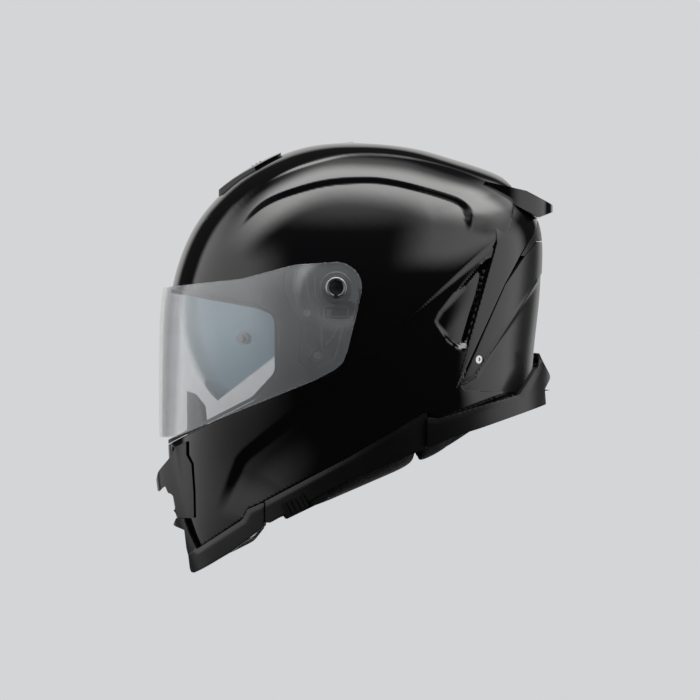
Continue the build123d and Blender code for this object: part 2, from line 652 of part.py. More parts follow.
with BuildPart() as left_sun_pin:
    with BuildSketch(Plane(origin=(sun_half_width + 0.3, sun_y, sun_z), x_dir=(0, 1, 0),
                           z_dir=(1, 0, 0))):
        Circle(6)
    extrude(amount=12)
    add(form(pocket_depth + pocket_wall + 0.05), mode=Mode.INTERSECT)
    with BuildSketch(Plane(origin=(sun_half_width - sun_thickness - 0.5, sun_y, sun_z),
                           x_dir=(0, 1, 0), z_dir=(1, 0, 0))):
        Circle(sun_pin_radius)
    extrude(amount=sun_thickness + 1.2)
    with BuildSketch(Plane(origin=(sun_half_width - sun_thickness - 0.5, sun_y, sun_z),
                           x_dir=(0, 1, 0), z_dir=(1, 0, 0))):
        Circle(5)
    extrude(amount=-1)
with BuildPart() as sun_pins:
    add(left_sun_pin.part)
    add(mirror(left_sun_pin.part, about=Plane.YZ))
save(sun_pins.part, "sun_visor_pivots")

# ---------------------------------------------------------------- shield fittings
with BuildPart() as left_pin:
    with BuildSketch(pin_at.offset(-4.8)):
        Circle(pin_radius + 1.4)
    extrude(amount=1.0)
    with BuildSketch(pin_at.offset(-3.8)):
        Circle(pin_radius)
    extrude(amount=4.5)
with BuildPart() as insert_pins:
    add(left_pin.part)
    add(mirror(left_pin.part, about=Plane.YZ))
save(insert_pins.part, "insert_pins")

# ---------------------------------------------------------------- top vent and crown lid
def crown_plane(y):
    """The tangent plane on the crown's centre line: its x runs left, its y rearward."""
    point, normal = form().find_intersection_points(Axis((0, y, 0), (0, 0, 1)))[-1]
    return Plane(origin=point, x_dir=(1, 0, 0), z_dir=normal)


vent_plane = crown_plane(-62 * ky)
with BuildPart() as top_vent_housing:
    with BuildSketch(Plane.XY) as plan:
        with BuildLine():
            FilletPolyline((-15, -88 * ky), (15, -88 * ky), (29, -60 * ky), (24, -41.5 * ky),
                           (-24, -41.5 * ky), (-29, -60 * ky), radius=4, close=True)
        make_face()
    extrude(amount=140 * kz)
    add(form(-4.2), mode=Mode.INTERSECT)
    add(form(-fit_gap), mode=Mode.SUBTRACT)
    with BuildSketch(vent_plane.offset(0.9)) as recess:
        Rectangle(30, 27)
    extrude(recess.sketch, amount=20, mode=Mode.SUBTRACT)
    with BuildSketch(vent_plane.offset(-5)) as air:
        with Locations((-7.5, 8.5), (7.5, 8.5)):
            SlotOverall(12, 5)
    extrude(air.sketch, amount=20, mode=Mode.SUBTRACT)
save(top_vent_housing.part, "top_vent_housing")

with BuildPart() as top_vent_shutter:
    with BuildSketch(vent_plane.offset(1.0)):
        with Locations((0, 4.5)):
            Rectangle(29.4, 16.5)
    extrude(amount=1.6)
    with BuildSketch(vent_plane.offset(2.6)):
        with Locations((0, 4.5)):
            with GridLocations(1, 3.2, 1, 3):
                Rectangle(14, 1.6)
    extrude(amount=1.5)
save(top_vent_shutter.part, "top_vent_shutter")

with BuildPart() as crown_vent_lid:
    with BuildSketch(Plane.XY) as plan:
        with BuildLine():
            FilletPolyline((-23.5, -41.0 * ky), (23.5, -41.0 * ky), (15, 4 * ky), (-15, 4 * ky),
                           radius=3, close=True)
        make_face()
    extrude(amount=160 * kz)
    add(form(-1.8), mode=Mode.INTERSECT)
    add(form(-fit_gap), mode=Mode.SUBTRACT)
save(crown_vent_lid.part, "crown_vent_lid")

# ---------------------------------------------------------------- chin vent
with BuildPart() as chin_vent_housing:
    side_prism(style((-119.9, -110), (-127.5, -110), (-128.8, -120.7), (-136.4, -147.7),
                     (-135.3, -151.4), (-132.3, -151.4), (-130.2, -147.6), (-123.0, -170.9),
                     (-114.2, -170.9), (-114.5, -151.4), (-116, -130.4), (-119.8, -123.8)))
    add(form(-fit_gap, front=-11), mode=Mode.INTERSECT)
    add(form(-fit_gap), mode=Mode.SUBTRACT)
    side_prism(port, port_radius, grow=port_rim + 0.5, mode=Mode.SUBTRACT)
    with BuildSketch(Plane.XZ.offset(80 * ky)) as mouth:
        with Locations((0, -159)):
            RectangleRounded(58, 13, 4)
    extrude(mouth.sketch, amount=60 * ky, mode=Mode.SUBTRACT)
save(chin_vent_housing.part, "chin_vent_housing")

with BuildPart() as chin_grille:
    with BuildSketch(Plane.XZ.offset(80 * ky)) as grille:
        with Locations((0, -159)):
            RectangleRounded(57.4, 12.4, 3.7)
            with GridLocations(10.5, 3.6, 5, 3):
                SlotOverall(8.6, 2.0, mode=Mode.SUBTRACT)
    extrude(grille.sketch, amount=60 * ky)
    add(form(0.5), mode=Mode.INTERSECT)
    add(form(2.3), mode=Mode.SUBTRACT)
save(chin_grille.part, "chin_vent_grille")

with BuildPart() as chin_vent_shutter:
    with BuildSketch(Plane.XZ.offset(80 * ky)) as flap:
        with Locations((0, -159)):
            Rectangle(62, 15)
    extrude(flap.sketch, amount=60 * ky)
    add(form(shell_wall + 0.7), mode=Mode.INTERSECT)
    add(form(shell_wall + 2.5), mode=Mode.SUBTRACT)
    with BuildSketch(Plane.XZ.offset((118.5 - shell_wall - 9) * ky)) as tab:
        with Locations((0, -159)):
            Rectangle(12, 3)
    extrude(tab.sketch, amount=11)
save(chin_vent_shutter.part, "chin_vent_shutter")

# ---------------------------------------------------------------- breath guard and chin curtain
with BuildPart() as breath_guard:
    side_prism(style((-114, -75.7), (-106, -79), (-92, -97), (-92, -125), (-114, -125)))
    add(form(14), mode=Mode.INTERSECT)
    add(form(15.8), mode=Mode.SUBTRACT)
    side_prism(port, port_radius, grow=port_rim + 0.3, mode=Mode.INTERSECT)
    with BuildSketch(Plane.XZ.offset(60 * ky)) as width:
        Rectangle(92, 400)
    extrude(width.sketch, amount=90 * ky, mode=Mode.INTERSECT)
save(breath_guard.part, "breath_guard")

with BuildPart() as chin_curtain:
    side_prism(style((-99, -204.4), (-78.3, -196.4), (-61, -187.4), (-53.5, -177.8),
                     (-54.7, -176.9), (-62, -185.8), (-78.9, -194.8), (-99, -202.6)))
    add(form(trim_depth + fit_gap), mode=Mode.INTERSECT)
    with BuildSketch(Plane.XY) as bite:
        with Locations((0, -20 * ky)):
            Circle(58)
    extrude(bite.sketch, amount=400, both=True, mode=Mode.SUBTRACT)
save(chin_curtain.part, "chin_curtain")

# ---------------------------------------------------------------- chin strap and rings
ring_drop = 40.0            # loop's centre below the slit
fold_drop = 58.0
with BuildPart() as chin_strap_left:
    with BuildSketch(strap_plane) as ribbon:
        with BuildLine():
            FilletPolyline((strap_root, 0), (strap_x, 0), (strap_x, -ring_drop + ring_inner),
                           radius=5)
        trace(line_width=strap_thickness)
        with Locations((strap_x, -ring_drop)):
            Circle(ring_inner + strap_thickness)
            Circle(ring_inner, mode=Mode.SUBTRACT)
    extrude(ribbon.sketch, amount=strap_width / 2, both=True)
save(chin_strap_left.part, "chin_strap_left")

with BuildPart() as chin_strap_right:
    with BuildSketch(strap_plane) as ribbon:
        with BuildLine():
            FilletPolyline((-strap_root, 0), (-strap_x, 0), (-strap_x, -fold_drop),
                           (-strap_x + 4.4, -fold_drop), (-strap_x + 4.4, -18),
                           radius=[5, 2.15, 2.15])
        trace(line_width=strap_thickness)
    extrude(ribbon.sketch, amount=strap_width / 2, both=True)
    with BuildSketch(Plane(origin=strap_plane.from_local_coords(Vector(-strap_x - 5, -26, 0)),
                           x_dir=(0, 1, 0), z_dir=(1, 0, 0))) as snap_hole:
        Circle(2.6)
    extrude(snap_hole.sketch, amount=14, mode=Mode.SUBTRACT)
save(chin_strap_right.part, "chin_strap_right")

with BuildPart() as strap_snap:
    snap_origin = strap_plane.from_local_coords(Vector(-strap_x - strap_thickness / 2 - 1.4, -26, 0))
    with BuildSketch(Plane(origin=snap_origin, x_dir=(0, 1, 0), z_dir=(1, 0, 0))):
        Circle(5.2)
    extrude(amount=1.3)
    with BuildSketch(Plane(origin=snap_origin, x_dir=(0, 1, 0), z_dir=(1, 0, 0))):
        Circle(2.5)
    extrude(amount=4.4 + strap_thickness + 2.8)
    with BuildSketch(Plane(origin=snap_origin + Vector(4.4 + strap_thickness + 1.5, 0, 0),
                           x_dir=(0, 1, 0), z_dir=(1, 0, 0))):
        Circle(5.2)
    extrude(amount=1.3)
save(strap_snap.part, "strap_snap")

with BuildPart() as d_rings:
    for shift in (ring_wire + 0.6, -ring_wire - 0.6):
        centre = strap_plane.from_local_coords(Vector(strap_x + shift, -ring_drop, 0))
        ring_plane = Plane(origin=centre, x_dir=-strap_plane.z_dir, z_dir=(1, 0, 0))
        with BuildLine(ring_plane) as loop:
            FilletPolyline((strap_width / 2 + 6, 0), (strap_width / 2 + 2, -21),
                           (-strap_width / 2 - 2, -21), (-strap_width / 2 - 6, 0), radius=4,
                           close=True)
        with BuildSketch(Plane(origin=loop.line @ 0, z_dir=loop.line % 0)) as wire:
            Circle(ring_wire)
        sweep(wire.sketch, path=loop.line)
save(d_rings.part, "d_rings")

with BuildPart() as left_anchor:
    with BuildSketch(Plane(origin=strap_plane.from_local_coords(Vector(strap_root + 0.1, 0, 0)),
                           x_dir=(0, 1, 0), z_dir=(1, 0, 0))):
        Circle(anchor_radius)
    extrude(amount=1.8)
    with BuildSketch(Plane(origin=strap_plane.from_local_coords(Vector(strap_root + 1.9, 0, 0)),
                           x_dir=(0, 1, 0), z_dir=(1, 0, 0))):
        Circle(4)
    extrude(amount=12)
    add(form(shell_wall + 0.1), mode=Mode.INTERSECT)
with BuildPart() as strap_anchors:
    add(left_anchor.part)
    add(mirror(left_anchor.part, about=Plane.YZ))
save(strap_anchors.part, "strap_anchors")

os.makedirs("parts", exist_ok=True)
standing = {name: piece.rotate(Axis.X, -stand_pitch) for name, piece in finished.items()}
front = min(standing[name].bounding_box().min.Y for name in ("shield", "chin_spoiler", "chin_vent_housing"))
back = max(standing[name].bounding_box().max.Y for name in ("rear_spoiler", "rear_collar"))
floor = min(standing[name].bounding_box().min.Z for name in ("chin_spoiler", "rear_collar"))
for name, piece in standing.items():
    piece = Pos(0, -(front + back) / 2, -floor) * piece
    piece.label = name
    export_step(piece, f"parts/{name}.step")
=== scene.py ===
import math
import bpy
import numpy as np
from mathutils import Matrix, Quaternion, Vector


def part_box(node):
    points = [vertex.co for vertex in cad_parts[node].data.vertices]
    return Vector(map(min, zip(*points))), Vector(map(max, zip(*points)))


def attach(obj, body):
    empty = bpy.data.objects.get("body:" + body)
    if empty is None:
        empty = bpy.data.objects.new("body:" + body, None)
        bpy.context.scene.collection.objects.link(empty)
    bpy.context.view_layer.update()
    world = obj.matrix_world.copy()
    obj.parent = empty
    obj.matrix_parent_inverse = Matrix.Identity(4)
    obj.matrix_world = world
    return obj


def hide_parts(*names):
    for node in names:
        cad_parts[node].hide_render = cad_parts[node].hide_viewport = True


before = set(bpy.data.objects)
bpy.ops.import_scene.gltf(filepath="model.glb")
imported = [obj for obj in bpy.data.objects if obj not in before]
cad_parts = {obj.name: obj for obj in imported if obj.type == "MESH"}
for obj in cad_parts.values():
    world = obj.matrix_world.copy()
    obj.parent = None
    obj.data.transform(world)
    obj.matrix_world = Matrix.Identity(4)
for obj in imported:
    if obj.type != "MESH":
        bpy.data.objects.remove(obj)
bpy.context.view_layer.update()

# ---------------------------------------------------------------- studio
# The helmet stands on its rim, tipped back. The camera is on the wearer's left and rolled, so that
# the helmet shows as it is worn. Soft boxes in the world light it, and there is no floor.
pivot_low, pivot_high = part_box("shield_pivot_left")
PIVOT = (pivot_low + pivot_high) / 2
PITCH = math.atan2(125.8, 262.4)


def stand(points):
    """Worn millimetres to metres as it stands: a turn about X by the pitch, then the pivot's place."""
    x, y, z = np.moveaxis(np.asarray(points, float), -1, 0)
    c, s = math.cos(PITCH), math.sin(PITCH)
    return np.stack([x / 1000, PIVOT.y + (y * c + z * s) / 1000, PIVOT.z + (z * c - y * s) / 1000], -1)


def as_worn(spots):
    """Metres as it stands back to worn millimetres, which undoes stand."""
    x, y, z = np.asarray(spots).T
    y, z = (y - PIVOT.y) * 1000, (z - PIVOT.z) * 1000
    c, s = math.cos(PITCH), math.sin(PITCH)
    return np.stack([x * 1000, y * c - z * s, y * s + z * c], 1)


class Wire:
    """A socket in a node tree. Sums and products of it add Math nodes."""

    def __init__(self, tree, socket=None):
        self.tree, self.socket = tree, socket

    def node(self, kind, settings=None, out=0, **values):
        """Add a node of that kind. Settings come first, a ramp's stops among them; then the sockets,
        by name with _ for a space or by number as s0, s1."""
        made = self.tree.nodes.new("ShaderNode" + kind)
        for name, value in (settings or {}).items():
            if name == "stops":
                ramp = made.color_ramp
                for place, colour in value[len(ramp.elements):]:
                    ramp.elements.new(place)
                for stop, (place, colour) in zip(ramp.elements, value):
                    stop.position, stop.color = place, colour
            else:
                setattr(made, name, value)
        for name, value in values.items():
            at = int(name[1:]) if name[1:].isdigit() else name.replace("_", " ")
            if isinstance(value, Wire):
                self.tree.links.new(value.socket, made.inputs[at])
            else:
                made.inputs[at].default_value = value
        return Wire(self.tree, made.outputs[out] if len(made.outputs) else None)

    def maths(self, operation, *terms):
        return self.node("Math", {"operation": operation}, **{f"s{i}": t for i, t in enumerate(terms)})

    def __add__(self, other):
        return self.maths("ADD", self, other)

    def __sub__(self, other):
        return self.maths("SUBTRACT", self, other)

    def __mul__(self, other):
        return self.maths("MULTIPLY", self, other)

    def __rsub__(self, other):
        return self.maths("SUBTRACT", other, self)

    __radd__, __rmul__ = __add__, __mul__

    def between(self, low, high):
        """0 below low, 1 above high, and a smooth ramp from one to the other."""
        return self.node("MapRange", {"interpolation_type": "SMOOTHSTEP"}, Value=self,
                         From_Min=low, From_Max=high)


def studio_light():
    """The world as soft boxes, by direction as worn: overhead a patch and a long strip, one ahead,
    two behind and one on the far side. What the camera sees directly is an even grey."""
    world = bpy.data.worlds.new("studio")
    world.use_nodes = True
    world.node_tree.nodes.clear()
    start = Wire(world.node_tree)
    turned = start.node("Mapping", {"vector_type": "POINT"}, Rotation=(PITCH, 0, 0),
                        Vector=start.node("TexCoord", out=0))
    x, y, z = (start.node("SeparateXYZ", out=i, Vector=turned) for i in range(3))
    off = x.maths("ABSOLUTE", x)
    overhead = z.between(0.76, 0.97) * 1.1 + z.between(0.5, 0.9) * (1 - off.between(0.1, 0.42)) * 4.6
    ahead = (0 - y).between(0.4, 0.8) * x.between(-0.62, -0.5) * z.between(-0.6, 0.0) * (
        1 - z.between(0.5, 0.75)) * 1.25
    behind = y.between(0.76, 0.93) * (1 - z.between(0.55, 0.8)) * 1.25 + (
        y.between(0.25, 0.6) * z.between(0.35, 0.6) * (1 - z.between(0.85, 0.97)) * 1.6)
    backdrop = (0 - x).between(0.86, 0.94) * 0.6
    strength = overhead + ahead + behind + backdrop + 0.02
    seen = start.node("Background", Color=(0.66, 0.665, 0.68, 1), Strength=1.0)
    lit = start.node("Background", Color=(1, 1, 0.985, 1), Strength=strength)
    both = start.node("MixShader", s0=start.node("LightPath", out=0), s1=lit, s2=seen)
    start.node("OutputWorld", Surface=both)
    bpy.context.scene.world = world


studio_light()
camera = bpy.data.objects.new("camera", bpy.data.cameras.new("camera"))
bpy.context.scene.collection.objects.link(camera)
bpy.context.scene.camera = camera
camera.location = stand([6000, 10.2, -45.7])
camera.data.lens = 36 * 6.0 / 0.525
camera.data.clip_end = 50
camera.rotation_mode = "QUATERNION"
camera.rotation_quaternion = (Quaternion((0, 0, 1), math.pi / 2) @ Quaternion((1, 0, 0), math.pi / 2)
                              @ Quaternion((0, 0, 1), -PITCH))
bpy.context.scene.view_settings.view_transform = "Standard"

# ---------------------------------------------------------------- outer shell
# A moulded composite shell under black lacquer. Its creases, the step over the brow and temples,
# the groove along the jaw and the scoop behind the ear are part of the moulding.
stations = np.array([   # height, front, back, back of the rear parts, half width, widest y, power
    (-222, -102.5, 130.0, 147.0, 89.0, 30.0, 2.0), (-180, -117.4, 130.0, 147.0, 97.0, 28.0, 2.0),
    (-140, -124.4, 130.0, 147.0, 106.0, 24.0, 2.0), (-100, -126.1, 132.0, 147.0, 115.0, 18.0, 2.1),
    (-62, -126.2, 139.0, 147.3, 121.8, 13.0, 2.2), (-30, -125.8, 145.5, 150.5, 124.4, 9.0, 2.25),
    (0, -123.3, 147.5, 153.5, 123.3, 7.0, 2.3), (28, -115.3, 143.8, 154.5, 117.0, 7.0, 2.25),
    (54, -101.5, 133.5, 150.0, 105.0, 7.0, 2.2), (77, -79.0, 113.5, 130.0, 88.5, 7.0, 2.15),
    (94, -51.0, 86.0, 92.0, 68.0, 8.0, 2.12), (104.5, -21.0, 46.0, 47.0, 38.0, 9.0, 2.1)])


def basis(knots, degree, at):
    """B-spline weights by Cox and de Boor: each is blended from two of one degree lower."""
    at = np.clip(at, knots[0], knots[-1] - 1e-9)[:, None]
    weights = ((knots[:-1] <= at) & (at < knots[1:])).astype(float)
    for k in range(1, degree + 1):
        rise, fall = knots[k:-1] - knots[:-k - 1], knots[k + 1:] - knots[1:-k]
        up = np.where(rise > 0, (at - knots[:-k - 1]) / np.where(rise > 0, rise, 1), 0)
        down = np.where(fall > 0, (knots[k + 1:] - at) / np.where(fall > 0, fall, 1), 0)
        weights = up * weights[:, :-1] + down * weights[:, 1:]
    return weights


def body_net(tail):
    """Control points of the body: superellipse sections, |x/w|^n + |y/l|^n = 1, at twelve heights and
    the crown; a closed cubic round each, a spline of degree 7 up through them."""
    a = np.pi * np.arange(12) / 6
    c, s = np.round(np.cos(a), 12), np.round(np.sin(a), 12)
    z, front, back, rear, half, widest, power = stations.T[:, :, None]
    back = rear if tail else back
    n = np.where(c >= 0, 2.3, power)
    y = widest + np.where(c >= 0, back - widest, widest - front) * np.sign(c) * abs(c) ** (2 / n)
    x = half * np.sign(s) * abs(s) ** (2 / n)
    points = np.concatenate([np.stack([x, y, z + 0 * x], -1), np.tile([0.0, 12.0, 108.0], (1, 12, 1))])
    steps = np.linalg.norm(np.diff(points, axis=0), axis=-1).mean(1)
    level = np.concatenate([[0], np.cumsum(steps)]) / steps.sum()
    knots = np.r_[[0] * 8, [level[6]] * 5, [1] * 8]
    round_knots = np.arange(-3, 16) / 12
    fold = basis(round_knots, 3, np.arange(12) / 12)
    fold[:, :3] += fold[:, 12:]
    net = np.einsum("ij,kjc->kic", np.linalg.inv(fold[:, :12]), points)
    net = np.einsum("ij,jkc->ikc", np.linalg.inv(basis(knots, 7, level)), net)
    return net[:, np.arange(15) % 12], knots, round_knots


nets = {tail: body_net(tail) for tail in (False, True)}


def body(u, v, side=0.0, front=None, back=None, tail=False):
    """The helmet's smooth body in worn mm, a grid with rows v up it and columns u round it from the
    back over the wearer's left. side, front and back grow it, about y = 11 and z = 0."""
    net, knots, round_knots = nets[tail]
    across = basis(round_knots, 3, np.mod(u, 1.0))
    x, y, z = np.moveaxis(np.einsum("vi,ijc,uj->vuc", basis(knots, 7, v), net, across), -1, 0)
    ahead = np.where(y < 11, side if front is None else front, side if back is None else back)
    return np.stack([x * (1 + side / 124.6), 11 + (y - 11) * (1 + ahead / 136),
                     np.where(z > 0, z * (1 + side / 108), z)], -1)


def outward(points):
    """Unit normals of a grid of points, from the cross product of its differences, turned straight up
    near the crown, where the columns meet."""
    n = np.cross(np.gradient(points, axis=0), np.gradient(points, axis=1))
    n /= np.maximum(np.linalg.norm(n, axis=-1, keepdims=True), 1e-9)
    top = np.clip((points[..., 2:] - 106.5) / 1.2, 0, 1)
    n = n * (1 - top) + top * np.array([0.0, 0.0, 1.0])
    return n / np.linalg.norm(n, axis=-1, keepdims=True)


def lattice(rows, columns):
    """Triangles over a grid of points, two to a cell, wound so that they face outwards."""
    i, j = np.meshgrid(np.arange(rows - 1), np.arange(columns - 1), indexing="ij")
    a, b, c, d = i * columns + j, (i + 1) * columns + j, (i + 1) * columns + j + 1, i * columns + j + 1
    return np.concatenate([np.stack([a, b, c], -1), np.stack([a, c, d], -1)], 1).reshape(-1, 3)


def trim(points, corners, field):
    """Cut triangles along field = 0 and keep the part below it. A crossed edge gets one new point,
    by proportion, so the cut is straight inside a triangle."""
    field = np.where(abs(field) < 0.02, -1e-6, field)
    keep = field < 0
    count = keep[corners].sum(1)
    out, size = [corners[count == 3]], len(points)
    cuts = {}
    for n, odd in ((1, keep), (2, ~keep)):
        part = corners[count == n]
        first = odd[part].argmax(1)
        cuts[n] = np.take_along_axis(part, (first[:, None] + np.arange(3)) % 3, 1)
    edges = np.concatenate([np.concatenate([part[:, [0, 1]], part[:, [0, 2]]]) for part in cuts.values()])
    pairs, where = np.unique(np.sort(edges, 1), axis=0, return_inverse=True)
    where = where.reshape(-1)
    a, b = pairs.T
    t = (field[a] / (field[a] - field[b]))[:, None]
    points = np.concatenate([points, points[a] * (1 - t) + points[b] * t])
    n1, n2 = len(cuts[1]), len(cuts[2])
    ab, ac = where[:n1] + size, where[n1:2 * n1] + size
    out.append(np.stack([cuts[1][:, 0], ab, ac], 1))
    ab, ac = where[2 * n1:2 * n1 + n2] + size, where[2 * n1 + n2:] + size
    out += [np.stack([ab, cuts[2][:, 1], cuts[2][:, 2]], 1), np.stack([ab, cuts[2][:, 2], ac], 1)]
    corners = np.concatenate(out)
    used, corners = np.unique(corners, return_inverse=True)
    return points[used], corners.reshape(-1, 3)


def rounded(outline, radius, steps=5):
    """A closed side-view outline with each corner turned into an arc of that radius."""
    p = np.asarray(outline, float)
    before, after = np.roll(p, 1, 0) - p, np.roll(p, -1, 0) - p
    before /= np.linalg.norm(before, axis=1, keepdims=True)
    after /= np.linalg.norm(after, axis=1, keepdims=True)
    half = np.arccos(np.clip((before * after).sum(1), -1, 1)) / 2
    reach = radius / np.tan(half)
    t = np.linspace(0, 1, steps)[None, :, None]
    start_, end = (p + before * reach[:, None])[:, None], (p + after * reach[:, None])[:, None]
    return ((1 - t) ** 2 * start_ + 2 * t * (1 - t) * p[:, None] + t ** 2 * end).reshape(-1, 2)


def to_line(points, line, closed=False):
    """Signed distance in the side view from a line of points, above 0 on its left as it runs, and
    how far along it, from 0 to 1, the nearest place is."""
    line = np.asarray(line, float)
    line = np.concatenate([line, line[:1]]) if closed else line
    a, run = line[:-1], np.diff(line, axis=0)
    p = points[:, None, 1:3] - a
    length = np.linalg.norm(run, axis=1)
    t = np.clip((p * run).sum(2) / length ** 2, 0, 1)
    d = p - t[:, :, None] * run
    gap = np.linalg.norm(d, axis=2)
    near = gap.argmin(1)
    rows = np.arange(len(points))
    side = run[near, 0] * d[rows, near, 1] - run[near, 1] * d[rows, near, 0]
    passed = np.concatenate([[0], np.cumsum(length)[:-1]])
    along = (passed[near] + t[rows, near] * length[near]) / length.sum()
    return gap[rows, near] * np.where(side < 0, -1, 1), along


def within(points, outline, slack=0.0):
    """Signed distance from a closed side-view outline, below 0 inside it, with slack added round it.
    Inside is where a ray forward crosses it an odd number of times."""
    a = np.asarray(outline, float)
    b = np.roll(a, -1, 0)
    y, z = points[:, None, 1], points[:, None, 2]
    climb = np.where(a[:, 1] == b[:, 1], 1e-9, b[:, 1] - a[:, 1])
    crossing = (b[:, 0] - a[:, 0]) * (z - a[:, 1]) / climb + a[:, 0]
    crossed = ((a[:, 1] > z) != (b[:, 1] > z)) & (y < crossing)
    gap = abs(to_line(points, a, closed=True)[0])
    return gap * np.where(crossed.sum(1) % 2 == 1, -1, 1) - slack


def soften(line):
    """A line with its corners cut twice, a quarter of each side at a time."""
    line = np.asarray(line, float)
    for _ in range(2):
        a, b = line[:-1], line[1:]
        cut = np.stack([a * 0.75 + b * 0.25, a * 0.25 + b * 0.75], 1).reshape(-1, 2)
        line = np.concatenate([line[:1], cut, line[-1:]])
    return line


def ramp(value, low, high):
    """0 at low, 1 at high, and straight between."""
    return np.clip((value - low) / (high - low), 0, 1)


def ease(value, low, high):
    """0 at low, 1 at high, and 3t^2 - 2t^3 between."""
    t = np.clip((value - low) / (high - low), 0, 1)
    return t * t * (3 - 2 * t)


def piece(name, points, corners, wall=0.0, bevel=0.0, rim_only=False, angle=32, weld=0.3):
    """A mesh object from points in worn mm and their triangles, with a wall inside it and its edges
    rounded."""
    mesh = bpy.data.meshes.new(name)
    mesh.from_pydata(stand(points).tolist(), [], corners.tolist())
    made = bpy.data.objects.new(name, mesh)
    bpy.context.scene.collection.objects.link(made)
    close = made.modifiers.new("close", "WELD")
    close.merge_threshold = weld / 1000
    if wall:
        thick = made.modifiers.new("wall", "SOLIDIFY")
        thick.thickness, thick.offset = wall / 1000, -1
        thick.use_rim_only = rim_only
    if bevel:
        soft = made.modifiers.new("edge", "BEVEL")
        soft.width, soft.segments, soft.limit_method = bevel / 1000, 2, "ANGLE"
        soft.angle_limit = math.radians(50)
    bpy.context.view_layer.update()
    solid = bpy.data.meshes.new_from_object(made.evaluated_get(bpy.context.evaluated_depsgraph_get()))
    made.modifiers.clear()
    made.data = solid
    solid.name = name
    solid.polygons.foreach_set("use_smooth", np.ones(len(solid.polygons), bool))
    solid.set_sharp_from_angle(angle=math.radians(angle))
    return made


port = rounded([(-165, 4.5), (-60, -14.2), (-45.5, -20), (-45.2, -62), (-62, -80.2), (-165, -133)], 9)
pocket = [(-39, 11), (-39, -2), (-33, -17), (-26, -26), (-27.6, -54), (-12, -69.5), (3.4, -60),
          (6.2, -49), (17, -6), (15, 10), (4, 18), (-31, 16.6)]
shell_foot = [(-170, -171), (-114, -171), (-109, -183.7), (-103.5, -193.6), (-69.4, -170.6),
              (-65.4, -163.2), (-56.6, -159), (10.2, -123.9), (65.6, -90.7), (75.8, -95.3),
              (135.9, -77.9), (153.3, -53.3), (175, -45.5), (175, -240), (-170, -240)]
temple = soften([(-78, 36), (-74.9, 42.2), (-62, 57), (-49.4, 65.8), (-30, 73), (-5.8, 79.3), (24, 80.9),
                 (41, 79), (58.4, 75), (78, 69.5), (91, 65), (98, 59), (99.5, 48), (99.8, 38)])
spine = soften([(-62, 71), (-37, 84.8), (-10, 93.5), (13.7, 98.2), (46, 97), (82.7, 89.4), (110.3, 79.0),
                (140, 66)])
flank = [(121, 35.5), (117.2, 31.9), (88, 6), (52.9, -24.5), (29.4, -50.5)]
scoop = rounded([(121, 32), (76, -17), (71.5, -25), (83, -40), (91, -45.5), (100, -42), (106, -20)], 5)
jaw = [(36, -46), (17, -58), (-35.6, -98.2), (-66, -122), (-71.5, -128), (-85.5, -162), (-88, -169)]


def shell_relief(points):
    """How far the moulding stands out, in mm, as a sum of steps. Each step rises over a few mm across
    its crease line and dies away beside it and at its ends."""
    d, t = to_line(points, temple)
    above, far = to_line(points, spine)
    out = 2.2 * ramp(d, -2.6, 0.0) * (1 - ease(above, 1, 44)) * ease(t, 0, 0.2) * (1 - ease(t, 0.92, 1.0))
    out += 0.7 * ease(above, -1.2, 0.4) * (1 - ease(above, 2, 30)) * ease(far, 0.0, 0.2)
    d, t = to_line(points, flank)
    out -= 1.5 * ease(d, -2.2, 0.4) * (1 - ease(d, 4, 26)) * (1 - ease(t, 0.75, 1.0))
    d = within(points, scoop)
    out -= (0.8 + 5.2 * ramp(points[:, 1] - 0.35 * points[:, 2], 80, 118)) * ramp(-d, 0.0, 2.6)
    d, t = to_line(points, jaw)
    out -= 2.4 * ramp(d, -3.0, 3.0) * (1 - ease(d, 12, 52)) * ease(t, 0.0, 0.16) * (1 - ease(t, 0.8, 1.0))
    return out


def skin(u, v, relief=None, **growth):
    """A grid of the body pushed along its normals by relief, with its triangles."""
    grid = body(u, v, **growth)
    if relief:
        push = relief(grid.reshape(-1, 3)).reshape(grid.shape[:2])
        grid = grid + outward(grid) * push[..., None]
    return grid.reshape(-1, 3), lattice(len(v), len(u))


# the rear parts that stand over the shell; up to them it swells to meet them flush
covered = [(110.5, 79.7), (116.8, 70), (119, 33), (87.4, -75.1), (135.7, -78.3), (150.2, -57.6),
           (185, -57.6), (185, 90), (110.5, 90)]
u, v = np.linspace(0, 1, 521), np.linspace(0.02, 0.9995, 241)
grid = body(u, v)
gap = within(grid.reshape(-1, 3), covered).reshape(grid.shape[:2])
share = np.where(gap > 0.3, 1 - ease(gap, 2, 46), 0)[..., None]
grid = grid + share * (body(u, v, tail=True) - grid)
push = shell_relief(grid.reshape(-1, 3)).reshape(grid.shape[:2])
points = (grid + outward(body(u, v)) * push[..., None]).reshape(-1, 3)
corners = lattice(len(v), len(u))
for field in (lambda p: -within(p, port, 3.05), lambda p: -within(p, shell_foot),
              lambda p: -np.where(abs(p[:, 0]) > 90, within(p, pocket), 99)):
    points, corners = trim(points, corners, field(points))
shell = piece("outer_shell_skin", points, corners, wall=4.0, bevel=0.5, rim_only=True)
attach(shell, "helmet")
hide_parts("outer_shell")


def finish_for(name):
    """An empty material with its first wire."""
    made = bpy.data.materials.new(name)
    made.use_nodes = True
    made.node_tree.nodes.clear()
    return made, Wire(made.node_tree)


